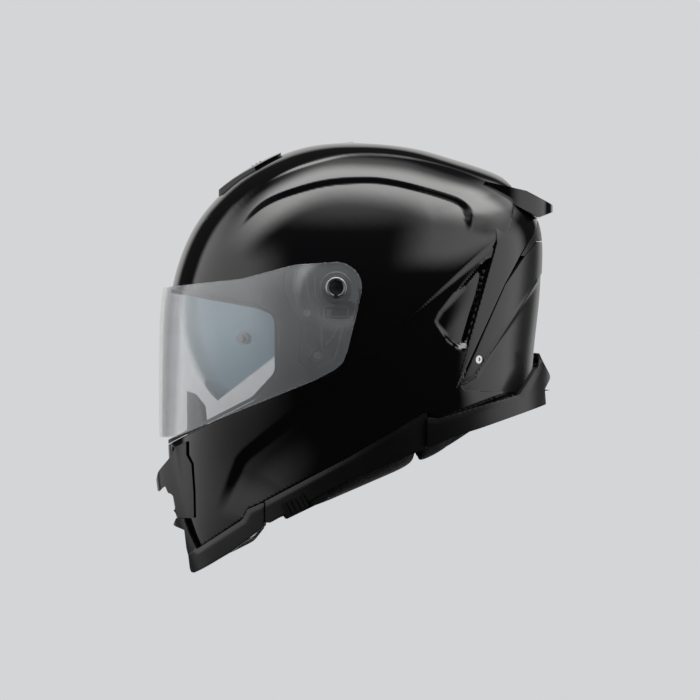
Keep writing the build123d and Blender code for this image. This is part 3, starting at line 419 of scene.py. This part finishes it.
def lacquer():
    """Black lacquer: a faint ripple in the coat and a little fine dust in the roughness."""
    made, start = finish_for("black_lacquer")
    spot = start.node("TexCoord", out=3)
    ripple = start.node("TexNoise", Vector=spot, Scale=110.0, Detail=1.0)
    dust = start.node("TexNoise", Vector=spot, Scale=900.0, Detail=2.0)
    normal = start.node("Bump", Height=ripple, Strength=0.05, Distance=0.0006)
    start.node("OutputMaterial", Surface=start.node(
        "BsdfPrincipled", Base_Color=(0.0035, 0.0035, 0.0042, 1),
        Roughness=dust * 0.05 + 0.04, IOR=1.55, Normal=normal))
    return made


black_lacquer = lacquer()
shell.data.materials.append(black_lacquer)


def satin(name, colour, roughness, grain):
    """Moulded plastic with a spark-eroded grain: fine noise in the bump and in the roughness."""
    made, start = finish_for(name)
    spot = start.node("TexCoord", out=3)
    fine = start.node("TexNoise", Vector=spot, Scale=grain, Detail=2.0)
    broad = start.node("TexNoise", Vector=spot, Scale=45.0, Detail=2.0).between(0.3, 0.7)
    tone = start.node("Mix", {"data_type": "RGBA"}, out=2, s0=broad, s6=(*colour, 1),
                      s7=(*(1.35 * c for c in colour), 1))
    start.node("OutputMaterial", Surface=start.node(
        "BsdfPrincipled", Base_Color=tone, Roughness=fine * 0.14 + (roughness - 0.07),
        Normal=start.node("Bump", Height=fine, Strength=0.25, Distance=0.0002)))
    return made


satin_black = satin("satin_black", (0.0075, 0.0077, 0.0085), 0.30, 1500.0)
shell.data.materials.append(satin_black)


def face_middles(made):
    """The middle of each face of a piece, in worn mm."""
    middle = np.empty(len(made.data.polygons) * 3)
    made.data.polygons.foreach_get("center", middle)
    return as_worn(middle.reshape(-1, 3))


# the middle of the chin bar is left in the satin of the vent that sits on it
middle = face_middles(shell)
bare = middle[:, 1] < np.interp(middle[:, 2], [-194.1, -183.7, -171.3, -151.4, -130.4, -123.8, -112.4],
                                [-104.1, -109.3, -114, -114.5, -116, -119.8, -130])
shell.data.polygons.foreach_set("material_index", bare.astype(np.int32))

points, corners = skin(np.linspace(0.19, 0.31, 60), np.linspace(0.36, 0.66, 90), side=-5.0)
points, corners = trim(points, corners, within(points, pocket, 0.4))
points = np.concatenate([points, points * [-1, 1, 1]])
corners = np.concatenate([corners, corners[:, ::-1] + len(points) // 2])
pocket_floor = piece("base_plate_pockets", points, corners, wall=1.2)
pocket_floor.data.materials.append(satin_black)
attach(pocket_floor, "helmet")

# ---------------------------------------------------------------- base plates and release levers
# Each side has a smoke-tinted plate that carries the shield's pivot, with moulded ribs and a cam
# path, and below it a lever that slides down to free the shield.


def both_sides(points, corners):
    """A left-hand patch with its mirror image, wound the other way so that it faces outwards."""
    return (np.concatenate([points, points * [-1, 1, 1]]),
            np.concatenate([corners, corners[:, ::-1] + len(points)]))


def smoke():
    """Smoke-tinted plastic: nearly black, cloudy under the surface, with a polished skin."""
    made, start = finish_for("smoke_plastic")
    spot = start.node("TexCoord", out=3)
    cloud = start.node("TexNoise", Vector=spot, Scale=70.0, Detail=2.0).between(0.35, 0.65)
    colour = start.node("Mix", {"data_type": "RGBA"}, out=2, s0=cloud, s6=(0.018, 0.019, 0.022, 1),
                        s7=(0.050, 0.053, 0.060, 1))
    fine = start.node("TexNoise", Vector=spot, Scale=1200.0)
    start.node("OutputMaterial", Surface=start.node(
        "BsdfPrincipled", Base_Color=colour, Roughness=fine * 0.12 + 0.16,
        Normal=start.node("Bump", Height=fine, Strength=0.15, Distance=0.0002)))
    return made


smoke_plastic = smoke()
ring = np.linspace(0, 2 * np.pi, 25)
ribs = [[(-21.9, 8.9), (-20.7, 1.6), (-19.1, -8.1), (-12.7, -14.5), (-11.5, -22)],
        [(-15, 8), (-15, 1.6), (-14.3, -6.5), (-9.5, -12.5)],
        [(-7.8, -14.5), (9.1, -14.5), (9.4, -21.6), (-7.8, -21.6), (-7.8, -14.5)],
        [(-29, 12), (-31, 1), (-27.5, -12), (-24, -17)],
        np.stack([11.2 * np.cos(ring), 11.2 * np.sin(ring)], 1)]
lever_ribs = [[(-21.6, -29), (-22.4, -48.5), (-12.2, -58.8), (-1, -53.5), (1.5, -46), (5.6, -29)],
              [(-10.2, -29), (-10.2, -40), (-9.4, -44)], [(1.5, -29), (-1.5, -36), (-7, -42)],
              np.stack([-14.1 + 4.4 * np.cos(ring), -50 + 4.4 * np.sin(ring)], 1)]


def ridges(lines, height, width):
    """Rounded ridges along lines: each is height times a cosine bump of that width."""
    def relief(points):
        gap = np.min([abs(to_line(points, line)[0]) for line in lines], 0)
        return height * (0.5 + 0.5 * np.cos(np.pi * np.clip(gap / width, 0, 1)))
    return relief


plate_outline = [(-37, 9), (-38, -0.5), (-32.3, -16.4), (-25.6, -24.2), (11.6, -24.2), (15.8, -6), (14, 9),
                 (3, 16.5), (-30, 15)]
lever_outline = [(-25, -26.4), (-25.2, -50), (-12, -63), (1.4, -56), (4.2, -48), (9.6, -26.4)]
for name, nodes, outline, lines, inset, wall in (
        ("base_plates", ("base_plate_left", "base_plate_right"), plate_outline, ribs, -1.0, 1.3),
        ("release_levers", ("release_lever_left", "release_lever_right"), lever_outline, lever_ribs,
         -3.7, 0.8)):
    points, corners = skin(np.linspace(0.19, 0.31, 200), np.linspace(0.38, 0.64, 260),
                           ridges(lines, 0.55, 1.1), side=inset)
    points, corners = trim(points, corners, within(points, rounded(outline, 2)))
    if name == "base_plates":
        points, corners = trim(points, corners, 5.9 - np.hypot(points[:, 1], points[:, 2]))
        points, corners = trim(points, corners, 2.9 - np.hypot(points[:, 1] + 21.5, points[:, 2] + 18.5))
        made = piece(name, *both_sides(points, corners), wall=wall, bevel=0.25)
        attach(made, "helmet")
        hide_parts(*nodes)
        made.data.materials.append(smoke_plastic)
    else:
        points, corners = trim(points, corners, 1.6 - np.hypot(points[:, 1] + 14.1, points[:, 2] + 50))
        for side, node in ((1, "left"), (-1, "right")):
            at = (points * [side, 1, 1], corners[:, ::side])
            made = piece("release_lever_skin_" + node, *at, wall=wall, bevel=0.25)
            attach(made, f"lever_{node}_body")
            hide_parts("release_lever_" + node)
            made.data.materials.append(smoke_plastic)

# ---------------------------------------------------------------- shield
# Injection-moulded clear polycarbonate with a hard coat. Its arms end in flat hubs on the pivots.
# The cut edge has a finish of its own, cloudier than the sheet.


def clear(name, passes, haze, veil):
    """A clear sheet: light passes straight through by its tint, a little is scattered by haze, and the
    rest is mirrored by Schlick's rule, 0.035 + 0.965 (1 - cos)^5, the same from both sides."""
    made, start = finish_for(name)
    spot = start.node("TexCoord", out=3)
    smear = start.node("TexNoise", Vector=spot, Scale=14.0, Detail=3.0).between(0.35, 0.75)
    through = start.node("BsdfTransparent", Color=passes)
    cloud = start.node("BsdfDiffuse", Color=haze)
    mirror = start.node("BsdfGlossy", Color=(1, 1, 1, 1), Roughness=smear * 0.03 + 0.02)
    sheet = start.node("MixShader", s0=smear * (veil * 0.5) + veil, s1=through, s2=cloud)
    slant = start.node("LayerWeight", out=1, Blend=0.5)
    start.node("OutputMaterial", Surface=start.node(
        "MixShader", s0=slant.maths("POWER", slant, 5.0) * 0.965 + 0.035, s1=sheet, s2=mirror))
    return made


clear_lens = clear("clear_lens", (0.985, 0.988, 0.99, 1), (0.90, 0.93, 0.97, 1), 0.14)
lens_edge = clear("lens_edge", (0.80, 0.82, 0.88, 1), (0.80, 0.82, 0.92, 1), 0.45)
arc = np.radians(np.linspace(100, -12, 16))
shield_outline = np.concatenate([
    [(-160, -1.6), (-129.6, 0.8), (-70.2, 6.6), (-39.2, 14.8), (-30, 17)],
    np.stack([19 * np.cos(arc), 19 * np.sin(arc)], 1),
    [(8.5, -46), (5, -55), (-1.5, -60.5), (-16.2, -68.2), (-69.1, -89.6), (-120.8, -110.7), (-160, -111.2)]])


def hub(points):
    """The arm's ends flattened to one x within 20 mm of the pivot, and blended out to 32 mm."""
    r = np.hypot(points[:, 1], points[:, 2])
    share = (1 - ease(r, 20, 32)) * (points[:, 0] != 0)
    flat = np.sign(points[:, 0]) * 125.3
    return np.stack([points[:, 0] * (1 - share) + flat * share, points[:, 1], points[:, 2]], 1)


points, corners = skin(np.linspace(0.2, 0.8, 281), np.linspace(0.24, 0.68, 120), side=2.7, front=6.8)
points = hub(points)
points, corners = trim(points, corners, within(points, shield_outline))
shield = piece("shield_lens", points, corners, wall=2.2, bevel=0.35)
shield.data.materials.append(clear_lens)
shield.data.materials.append(lens_edge)


def mark_edges(made, outline, slack):
    """Give the second material to the faces at the cut edge, which lie on the outline."""
    near = within(face_middles(made), outline) > -slack
    made.data.polygons.foreach_set("material_index", near.astype(np.int32))


mark_edges(shield, shield_outline, 0.22)
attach(shield, "shield_body")
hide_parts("shield")

# ---------------------------------------------------------------- sun visor
# A smoke-tinted lens that drops inside the shield. It is part of a bowl turned about the line
# through its two pivots, with a notch for the nose.
tinted_lens = clear("tinted_lens", (0.78, 0.87, 0.91, 1), (0.66, 0.76, 0.82, 1), 0.10)
half_width, radius, power = 112.4, 106.5, 2.3
line_y, line_z = -10, -14   # the line through the pivots


def bowl(a, b):
    """Bowl turned about that line, round which a point stands b above level ahead."""
    a, b = np.meshgrid(a, b)
    x = half_width * np.sign(np.cos(a)) * abs(np.cos(a)) ** (2 / power)
    r = radius * abs(np.sin(a)) ** (2 / power)
    return np.stack([x, line_y - r * np.cos(b), line_z + r * np.sin(b)], -1)


grid = bowl(np.pi * np.linspace(0.015, 0.985, 220), np.radians(np.linspace(-100, 40, 200)))
points, corners = grid.reshape(-1, 3), lattice(*grid.shape[:2])
lens = rounded([(-12, -5.2), (-45, -4), (-140, 15), (-140, -123.5), (-91, -85.2), (-52, -54.7), (-30, -38),
                (-14, -22.5)], 2.5)
points, corners = trim(points, corners, np.minimum(
    within(points, lens), np.hypot(points[:, 1] - line_y, points[:, 2] - line_z) - 9))
points, corners = trim(points, corners, np.where(
    points[:, 1] < -40, -72 - 26 * (abs(points[:, 0]) / 34) ** 2.2 - points[:, 2], -9))
points, corners = trim(points, corners, 3.1 - np.hypot(points[:, 1] - line_y, points[:, 2] - line_z))
visor = piece("sun_visor_lens", points, corners, wall=1.9, bevel=0.3)
visor.data.materials.append(tinted_lens)
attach(visor, "sun_visor_body")
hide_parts("sun_visor")

# ---------------------------------------------------------------- gasket, pins and screws
# A black rubber bead seals the shield round the eye port. The screws, D-rings, rivets and the rings
# on the pivots are steel, and the pins for the shield's anti-mist insert are clear plastic.


def rubber():
    """Rubber: dull black, a little dusty, with a fine moulded skin."""
    made, start = finish_for("black_rubber")
    spot = start.node("TexCoord", out=3)
    fine = start.node("TexNoise", Vector=spot, Scale=800.0, Detail=3.0)
    dust = start.node("TexNoise", Vector=spot, Scale=35.0, Detail=4.0).between(0.4, 0.75)
    start.node("OutputMaterial", Surface=start.node(
        "BsdfPrincipled", Base_Color=start.node("Mix", {"data_type": "RGBA"}, out=2, s0=dust,
                                                s6=(0.010, 0.010, 0.011, 1), s7=(0.020, 0.020, 0.021, 1)),
        Roughness=fine * 0.2 + 0.38, Normal=start.node("Bump", Height=fine, Strength=0.3, Distance=0.0003)))
    return made


def steel():
    """Turned stainless steel: rings of fine tool marks in the roughness, about the pivot's axis."""
    made, start = finish_for("turned_steel")
    spot = start.node("TexCoord", out=3)
    marks = start.node("TexNoise", {"noise_dimensions": "3D"}, Vector=start.node(
        "Mapping", Vector=spot, Scale=(60.0, 900.0, 900.0)), Scale=4.0, Detail=2.0)
    start.node("OutputMaterial", Surface=start.node(
        "BsdfPrincipled", Base_Color=(0.60, 0.61, 0.63, 1), Metallic=1.0, Roughness=marks * 0.25 + 0.16,
        Normal=start.node("Bump", Height=marks, Strength=0.12, Distance=0.0002)))
    return made


black_rubber, turned_steel = rubber(), steel()
pin_clear = clear("pin_clear", (0.75, 0.78, 0.82, 1), (0.85, 0.88, 0.92, 1), 0.3)


def refinish(finish, *names):
    """Give CAD nodes this finish in place of the plain one they came with."""
    for name in names:
        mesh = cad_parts[name].data
        for i in range(len(mesh.materials)):
            mesh.materials[i] = finish


refinish(black_rubber, "eye_port_gasket", "breath_guard")
refinish(turned_steel, "base_plate_screws", "rear_panel_screws", "d_rings", "strap_anchors")
refinish(pin_clear, "insert_pins")
refinish(smoke_plastic, "sun_visor_pivots", "shield_pivot_left", "shield_pivot_right")

turn = np.linspace(-0.46, 0.46, 73) * 2 * np.pi - np.pi / 2 + np.pi
across = np.array([5.7, 6.0, 6.6, 7.1, 7.4])
lift = np.array([0.0, 0.45, 0.6, 0.45, 0.0])
face = pivot_high.x * 1000
points = np.stack([face + lift[:, None] + 0 * turn, across[:, None] * np.cos(turn),
                   across[:, None] * np.sin(turn)], -1)
ring_points, ring_corners = points.reshape(-1, 3), lattice(5, 73)[:, ::-1]
rings = piece("pivot_rings", *both_sides(ring_points, ring_corners), wall=0.4, bevel=0.0)
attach(rings, "helmet")
rings.data.materials.append(turned_steel)

# ---------------------------------------------------------------- rear blades, panel and spoiler
# Gloss blades run down behind the shell's cut edge. Between them a satin panel wraps the back and
# is held by a screw each side, and a spoiler caps it over the exhaust vent.
points, corners = skin(np.linspace(0.005, 0.24, 150), np.linspace(0.30, 0.93, 260), side=0.0, tail=True)
blade = rounded([(116.8, 70), (119, 33), (87.4, -75.1), (88.8, -74.2), (124.6, 3.2), (136.3, 23.9),
                 (149.5, 45.6), (150.8, 52.8)], 0.3, 3)
points, corners = trim(points, corners, within(points, blade))
for side, node in ((1, "left"), (-1, "right")):
    made = piece("rear_blade_skin_" + node, points * [side, 1, 1], corners[:, ::side], wall=2.6, bevel=0.4)
    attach(made, "helmet")
    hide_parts("rear_blade_" + node)
    made.data.materials.append(black_lacquer)

satin_grey = satin("satin_grey", (0.016, 0.0165, 0.018), 0.24, 1400.0)
crease = [(150, 6), (113.5, -47.2), (103.2, -64.4), (86, -75.5)]


def panel_relief(points):
    """A fine ridge along the panel's crease, and the field behind it set in a little."""
    d, t = to_line(points, crease)
    return 0.5 * (1 - ramp(abs(d), 0, 1.3)) - 0.9 * ramp(d, 0, 3) * (1 - ease(d, 10, 60))


points, corners = skin(np.linspace(-0.23, 0.23, 320), np.linspace(0.30, 0.84, 230), panel_relief,
                       side=0.0, tail=True)
panel = rounded([(140.2, 23.7), (150.1, 35.2), (168, 35.2), (168, -49), (150.2, -47), (150.2, -57.6),
                 (135.7, -78.3), (90.2, -75.4), (125.3, 2.7)], 0.3, 3)
points, corners = trim(points, corners, within(points, panel))
points, corners = trim(points, corners, np.where(abs(points[:, 0]) > 50, 3.2 - np.hypot(
    points[:, 1] - 105.3, points[:, 2] + 52.7), -9))
made = piece("rear_panel_skin", points, corners, wall=2.4, bevel=0.4)
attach(made, "helmet")
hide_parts("rear_panel")
made.data.materials.append(satin_grey)
refinish(black_lacquer, "rear_spoiler", "top_vent_housing", "crown_vent_lid")
refinish(satin_black, "exhaust_vent", "top_vent_shutter")

# ---------------------------------------------------------------- rim mouldings
# Satin mouldings close the shell's lower edge: the chin spoiler, a trim each side and the rear
# collar. Each is rolled over along its upper edge, and the left trim carries the visor's slider.
# Their outlines also cut the chin spoiler and the collar through at the middle, into two halves.


def rolled(line, height, width):
    """The moulding stands out below its upper edge: height, reached straight over width."""
    def relief(points):
        return height * ramp(-to_line(points, line)[0], 0.0, width) - height
    return relief


trim_top = [(-104.1, -194.2), (-69.4, -171.3), (-65.6, -163.7), (-56.6, -159.5), (10.2, -124.4),
            (65.5, -91.2)]
collar_top = [(67.4, -95.4), (75.8, -96.1), (135.9, -78.7), (150.5, -57.5)]
trim_outline = [(-52.8, -157.6), (10.2, -124.4), (65.5, -91.2), (66.8, -93), (66.8, -118.2), (11.5, -140.6),
                (-9.3, -151.7), (-51.8, -175.1), (-52.8, -175.9)]
chin_outline = [(-53.3, -158.2), (-65.6, -163.7), (-69.4, -171.3), (-104.1, -194.2), (-109.3, -183.7),
                (-114, -171.5), (-119.8, -171.3), (-122.4, -176.9), (-113.5, -180), (-112, -194.2),
                (-110.6, -199.5), (-109.6, -209.5), (-108.4, -212.0), (-106, -212), (-98, -207.6),
                (-78.3, -195.7), (-53.3, -176.3)]
collar_outline = [(67.4, -95.4), (75.8, -96.1), (135.9, -78.7), (150.5, -57.5), (150.5, -47.2), (154, -54.5),
                  (159.8, -64.6), (159.8, -67.4), (155.5, -74.8), (156.4, -86.2), (105.5, -103.8),
                  (92, -107.9), (67.4, -118)]
mouldings = (
    ("side_trims", ("side_trim_left", "side_trim_right"), trim_top, dict(side=0.6),
     (0.13, 0.36), (0.12, 0.44), 1.1, 3.2, trim_outline),
    ("chin_spoiler_skin", ("chin_spoiler",), trim_top, dict(side=0.6, front=6.0),
     (0.28, 0.72), (0.02, 0.30), 1.1, 3.0, chin_outline),
    ("rear_collar_skin", ("rear_collar",), collar_top, dict(side=0.6, back=14.0, tail=True),
     (-0.26, 0.26), (0.20, 0.52), 1.2, 4.0, collar_outline))
for name, nodes, line, growth, us, vs, height, width, outline in mouldings:
    u, v = np.linspace(*us, 260), np.linspace(*vs, 110)
    points, corners = skin(u, v, rolled(line, height, width), **growth)
    points, corners = trim(points, corners, within(points, outline))
    if name == "side_trims":
        points, corners = both_sides(points, corners)
    made = piece(name, points, corners, wall=4.0, bevel=0.5)
    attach(made, "helmet")
    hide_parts(*nodes)
    made.data.materials.append(satin_black)
refinish(satin_black, "chin_vent_grille", "chin_vent_shutter", "slider_track",
         "sun_visor_slider", "strap_snap")

# the chin vent's housing stands out in the middle, and is drawn back at its sides
proud, drawn_share = 0.0095, 0.86
housing = bpy.data.objects.new("chin_vent_surround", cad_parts["chin_vent_housing"].data.copy())
bpy.context.scene.collection.objects.link(housing)
spots = np.empty(len(housing.data.vertices) * 3)
housing.data.vertices.foreach_get("co", spots)
spots = spots.reshape(-1, 3)
drawn = drawn_share * ease(abs(spots[:, 0]), 0.016, 0.038)
spots[:, 1] += drawn * proud * math.cos(PITCH)
spots[:, 2] -= drawn * proud * math.sin(PITCH)
housing.data.vertices.foreach_set("co", spots.ravel())
for i in range(len(housing.data.materials)):
    housing.data.materials[i] = satin_black
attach(housing, "helmet")
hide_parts("chin_vent_housing")

# ---------------------------------------------------------------- impact liners
# Expanded polystyrene, moulded in beads and sprayed black, is bonded inside the shell and the chin.


def foam():
    """Moulded polystyrene: beads a few millimetres across with creases between them."""
    made, start = finish_for("black_foam")
    spot = start.node("TexCoord", out=3)
    bead = start.node("TexVoronoi", Vector=spot, Scale=330.0)
    tone = start.node("Mix", {"data_type": "RGBA"}, out=2, s0=bead * 1.2, s6=(0.028, 0.028, 0.030, 1),
                      s7=(0.012, 0.012, 0.013, 1))
    start.node("OutputMaterial", Surface=start.node(
        "BsdfPrincipled", Base_Color=tone, Roughness=bead * 0.2 + 0.6,
        Normal=start.node("Bump", Height=bead, Strength=0.7, Distance=0.0008)))
    return made


refinish(foam(), "impact_liner", "chin_impact_liner")

# ---------------------------------------------------------------- comfort lining
# Foam pads in knitted cloth, pressed into the liner: a crown pad, a cheek pad each side and a neck
# roll of coated cloth. Sewn channels divide them.


def cloth(name, colour, sheen, hole):
    """Knitted cloth: rows of small open cells in the bump and tone, over a soft broad shade."""
    made, start = finish_for(name)
    spot = start.node("TexCoord", out=3)
    cell = start.node("TexVoronoi", {"feature": "DISTANCE_TO_EDGE"}, Vector=spot, Scale=hole, Randomness=0.25)
    broad = start.node("TexNoise", Vector=spot, Scale=25.0, Detail=3.0).between(0.3, 0.7)
    knit = cell.between(0.02, 0.22) * 0.7 + broad * 0.3
    tone = start.node("Mix", {"data_type": "RGBA"}, out=2, s0=knit, s6=(*(1.9 * c for c in colour), 1),
                      s7=(*colour, 1))
    start.node("OutputMaterial", Surface=start.node(
        "BsdfPrincipled", Base_Color=tone, Roughness=knit * 0.1 + 0.75, Sheen_Weight=sheen,
        Normal=start.node("Bump", Height=knit, Strength=0.6, Distance=0.0006)))
    return made


def stuffed(name, node, channels, finish, voxel=0.005, cap=0.005):
    """A sewn pad from its plain solid: remeshed, drawn in, swollen as cloth under pressure where it
    faces the head, by no more than cap, and then creased along its channels."""
    made = bpy.data.objects.new(name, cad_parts[node].data.copy())
    bpy.context.scene.collection.objects.link(made)

    def settle():
        bpy.context.view_layer.update()
        return bpy.data.meshes.new_from_object(made.evaluated_get(bpy.context.evaluated_depsgraph_get()))

    even = made.modifiers.new("even", "REMESH")
    even.mode, even.voxel_size = "VOXEL", voxel
    smooth = made.modifiers.new("smooth", "SMOOTH")
    smooth.factor, smooth.iterations = 0.5, 6
    made.data = settle()
    made.modifiers.clear()
    count = len(made.data.vertices)
    before, normals = np.empty(count * 3), np.empty(count * 3)
    made.data.vertices.foreach_get("co", before)
    made.data.vertex_normals.foreach_get("vector", normals)
    before, normals = before.reshape(-1, 3), normals.reshape(-1, 3)
    inward = stand([0, 10, -30]) - before
    inward /= np.linalg.norm(inward, axis=1, keepdims=True)
    free = np.clip((normals * inward).sum(1) + 0.15, 0, 1)[:, None]
    after = before + normals * free * cap * 0.5
    swell = made.modifiers.new("swell", "CLOTH")
    swell.settings.use_pressure, swell.settings.uniform_pressure_force = True, 4.0
    swell.settings.effector_weights.gravity = 0
    swell.settings.tension_stiffness = swell.settings.compression_stiffness = 15
    for step in range(1, 15):
        bpy.context.scene.frame_set(step)
    moved = np.empty(count * 3)
    settle().vertices.foreach_get("co", moved)
    made.modifiers.clear()
    bpy.context.scene.frame_set(1)
    move = moved.reshape(-1, 3) - before
    far = np.linalg.norm(move, axis=1, keepdims=True)
    after = before + move * np.minimum(1, cap / np.maximum(far, 1e-9)) * free
    made.data.vertices.foreach_set("co", after.ravel())
    finer = made.modifiers.new("finer", "SUBSURF")
    finer.levels = finer.render_levels = 1
    made.data = settle()
    made.modifiers.clear()
    spots, normals = np.empty(len(made.data.vertices) * 3), np.empty(len(made.data.vertices) * 3)
    made.data.vertices.foreach_get("co", spots)
    made.data.vertex_normals.foreach_get("vector", normals)
    spots, normals = spots.reshape(-1, 3), normals.reshape(-1, 3)
    near = channels(as_worn(spots))
    sunk = 0.0022 * (0.5 + 0.5 * np.cos(np.pi * np.clip(near / 5.0, 0, 1)))
    made.data.vertices.foreach_set("co", (spots - normals * sunk[:, None]).ravel())
    made.data.polygons.foreach_set("use_smooth", np.ones(len(made.data.polygons), bool))
    made.data.materials.clear()
    made.data.materials.append(finish)
    made.data.name = name
    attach(made, "helmet")
    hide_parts(node)
    return made


black_knit, black_twill = cloth("black_knit", (0.010, 0.010, 0.011), 0.35, 520.0), cloth(
    "black_twill", (0.006, 0.006, 0.007), 0.15, 1100.0)


def crown_channels(points):
    """Two seams from front to back and one across."""
    return np.minimum(abs(abs(points[:, 0]) - 34), abs(points[:, 1] - 18))


def cheek_channels(points):
    """A seam round the soft middle of the pad, and one across it."""
    soft = rounded([(-30, -66), (44, -70), (44, -118), (6, -136), (-38, -150), (-42, -98)], 9)
    return np.minimum(abs(within(points, soft)), abs(to_line(points, [(-40, -104), (44, -96)])[0]))


def roll_channels(points):
    """Seams across the roll at even steps round the neck."""
    around = np.arctan2(points[:, 0], points[:, 1] - 20) * 90
    return abs((around + 40) % 80 - 40)


stuffed("crown_cushion", "crown_pad", crown_channels, black_knit)
for side in ("left", "right"):
    stuffed("cheek_cushion_" + side, "cheek_pad_" + side, cheek_channels, black_knit, 0.004)
stuffed("neck_roll_cushion", "neck_roll", roll_channels, black_twill, 0.004, 0.003)

# ---------------------------------------------------------------- chin curtain
# Pale knitted mesh, hemmed round the neck edge and stretched under the chin, which keeps draughts out.
# Its outer edge is bonded inside the chin spoiler.


def mesh_cloth():
    """Knitted mesh: small round holes between threads, with the light let through them."""
    made, start = finish_for("pale_mesh")
    spot = start.node("TexCoord", out=3)
    cell = start.node("TexVoronoi", Vector=spot, Scale=700.0, Randomness=0.2)
    broad = start.node("TexNoise", Vector=spot, Scale=60.0, Detail=2.0).between(0.3, 0.7)
    thread = cell.between(0.25, 0.55)
    tone = start.node("Mix", {"data_type": "RGBA"}, out=2, s0=broad, s6=(0.30, 0.305, 0.32, 1),
                      s7=(0.42, 0.425, 0.44, 1))
    start.node("OutputMaterial", Surface=start.node(
        "BsdfPrincipled", Base_Color=tone, Roughness=broad * 0.1 + 0.7, Alpha=thread * 0.35 + 0.5,
        Normal=start.node("Bump", Height=thread, Strength=0.4, Distance=0.0003)))
    return made


line = np.array([(-99, -204.4), (-78.3, -196.4), (-61, -187.4), (-53.5, -177.8)])
curtain_length = np.linalg.norm(np.diff(line, axis=0), axis=1)
s = np.concatenate([[0], np.cumsum(curtain_length)])
along = np.linspace(0, s[-1], 70)
y, z = np.interp(along, s, line[:, 0]), np.interp(along, s, line[:, 1])
y, z = (np.convolve(np.pad(value, 4, "reflect", reflect_type="odd"), np.ones(9) / 9, "valid")
        for value in (y, z))
front, half, widest = (np.interp(z, stations[:3, 0], stations[:3, k]) for k in (1, 4, 5))
half = (half - 7.4) * np.sqrt(np.maximum(1 - ((widest - y) / (widest - front - 7.4)) ** 2, 0.001))
q = np.linspace(-1, 1, 181)
x, y, z = half[:, None] * q, y[:, None] + 0 * q, z[:, None] + 0 * q
neck = np.hypot(x, y + 20)
z = z + 0.7 * (0.5 + 0.5 * np.cos(np.pi * np.clip((neck - 59.8) / 1.6, -1, 1)))
points, corners = np.stack([x, y, z], -1).reshape(-1, 3), lattice(70, 181)
points, corners = trim(points, corners, 58 - np.hypot(points[:, 0], points[:, 1] + 20))
a, b, c = (points[corners[:, i]] / 1000 for i in range(3))
curtain_area = np.linalg.norm(np.cross(b - a, c - a), axis=1).sum() / 2
curtain = piece("chin_curtain_mesh", points, corners, wall=1.2, bevel=0.2)
curtain.data.materials.append(mesh_cloth())
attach(curtain, "helmet")
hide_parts("chin_curtain")

# ---------------------------------------------------------------- chin straps
# Woven polyester webbing 24 mm wide, riveted to the shell behind the cheek pads. The left strap is
# turned up round the D-rings and sewn. The right one is folded double and held by a snap.


def webbing():
    """Webbing: fine ribs across the strap that zigzag over its width, from the object's own axes."""
    made, start = finish_for("black_webbing")
    x, y, z = (start.node("SeparateXYZ", out=i, Vector=start.node("TexCoord", out=3)) for i in range(3))
    slant = (x + z + y.maths("PINGPONG", y, 0.004)) * 3600.0
    rib = slant.maths("SINE", slant) * 0.5 + 0.5
    fuzz = start.node("TexNoise", Vector=start.node("TexCoord", out=3), Scale=600.0, Detail=2.0)
    tone = start.node("Mix", {"data_type": "RGBA"}, out=2, s0=rib, s6=(0.006, 0.006, 0.007, 1),
                      s7=(0.020, 0.020, 0.022, 1))
    start.node("OutputMaterial", Surface=start.node(
        "BsdfPrincipled", Base_Color=tone, Roughness=fuzz * 0.2 + 0.5,
        Normal=start.node("Bump", Height=rib, Strength=0.5, Distance=0.0003)))
    return made


def bend(path, radius, steps=7):
    """An open path with each of its corners turned into an arc of that radius, in even steps."""
    path = np.asarray(path, float)
    arcs = rounded(path, radius, steps).reshape(-1, steps, 2)[1:-1].reshape(-1, 2)
    path = np.concatenate([path[:1], arcs, path[-1:]])
    far = np.concatenate([[0], np.cumsum(np.linalg.norm(np.diff(path, axis=0), axis=1))])
    even = np.linspace(0, far[-1], int(far[-1] / 0.7))
    return np.stack([np.interp(even, far, path[:, 0]), np.interp(even, far, path[:, 1])], 1)


black_webbing = webbing()
strap_width, strap_thickness = 24, 1.7
for name, node, held, rests_on, path in (
        ("chin_strap_left_webbing", "chin_strap_left", "hung", ["strap_anchors"],
         bend([(112, 0), (54.95, 0), (54.95, -31), (59.1, -37), (59.1, -42.5), (56.3, -45.1), (51.7, -45.1),
               (48.9, -42.5), (48.9, -37), (53.05, -31), (53.05, -12)],
              [3, 5, 3, 2.5, 2, 2, 2, 2, 2.5, 3, 3])),
        ("chin_strap_right_webbing", "chin_strap_right", "folded", ["strap_anchors", "strap_snap"],
         bend([(-112, 0), (-54, 0), (-54, -58), (-49.6, -58), (-49.6, -18)], [5, 5, 2.15, 2.15, 2.15]))):
    way = np.gradient(path, axis=0)
    way /= np.linalg.norm(way, axis=1, keepdims=True)
    path = path + strap_thickness / 2 * np.stack([way[:, 1], -way[:, 0]], 1)
    x, lift = (value[:, None] for value in path.T)
    w = np.linspace(-strap_width / 2, strap_width / 2, 13)
    c, s = math.cos(PITCH), math.sin(PITCH)
    points = np.stack([x + 0 * w, 8 - s * lift - c * w, -75 + c * lift - s * w], -1)
    made = piece(name, points.reshape(-1, 3), lattice(len(path), len(w)), wall=strap_thickness, bevel=0.4,
                 weld=0.01)
    made.data.materials.append(black_webbing)
    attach(made, "helmet")
    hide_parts(node)
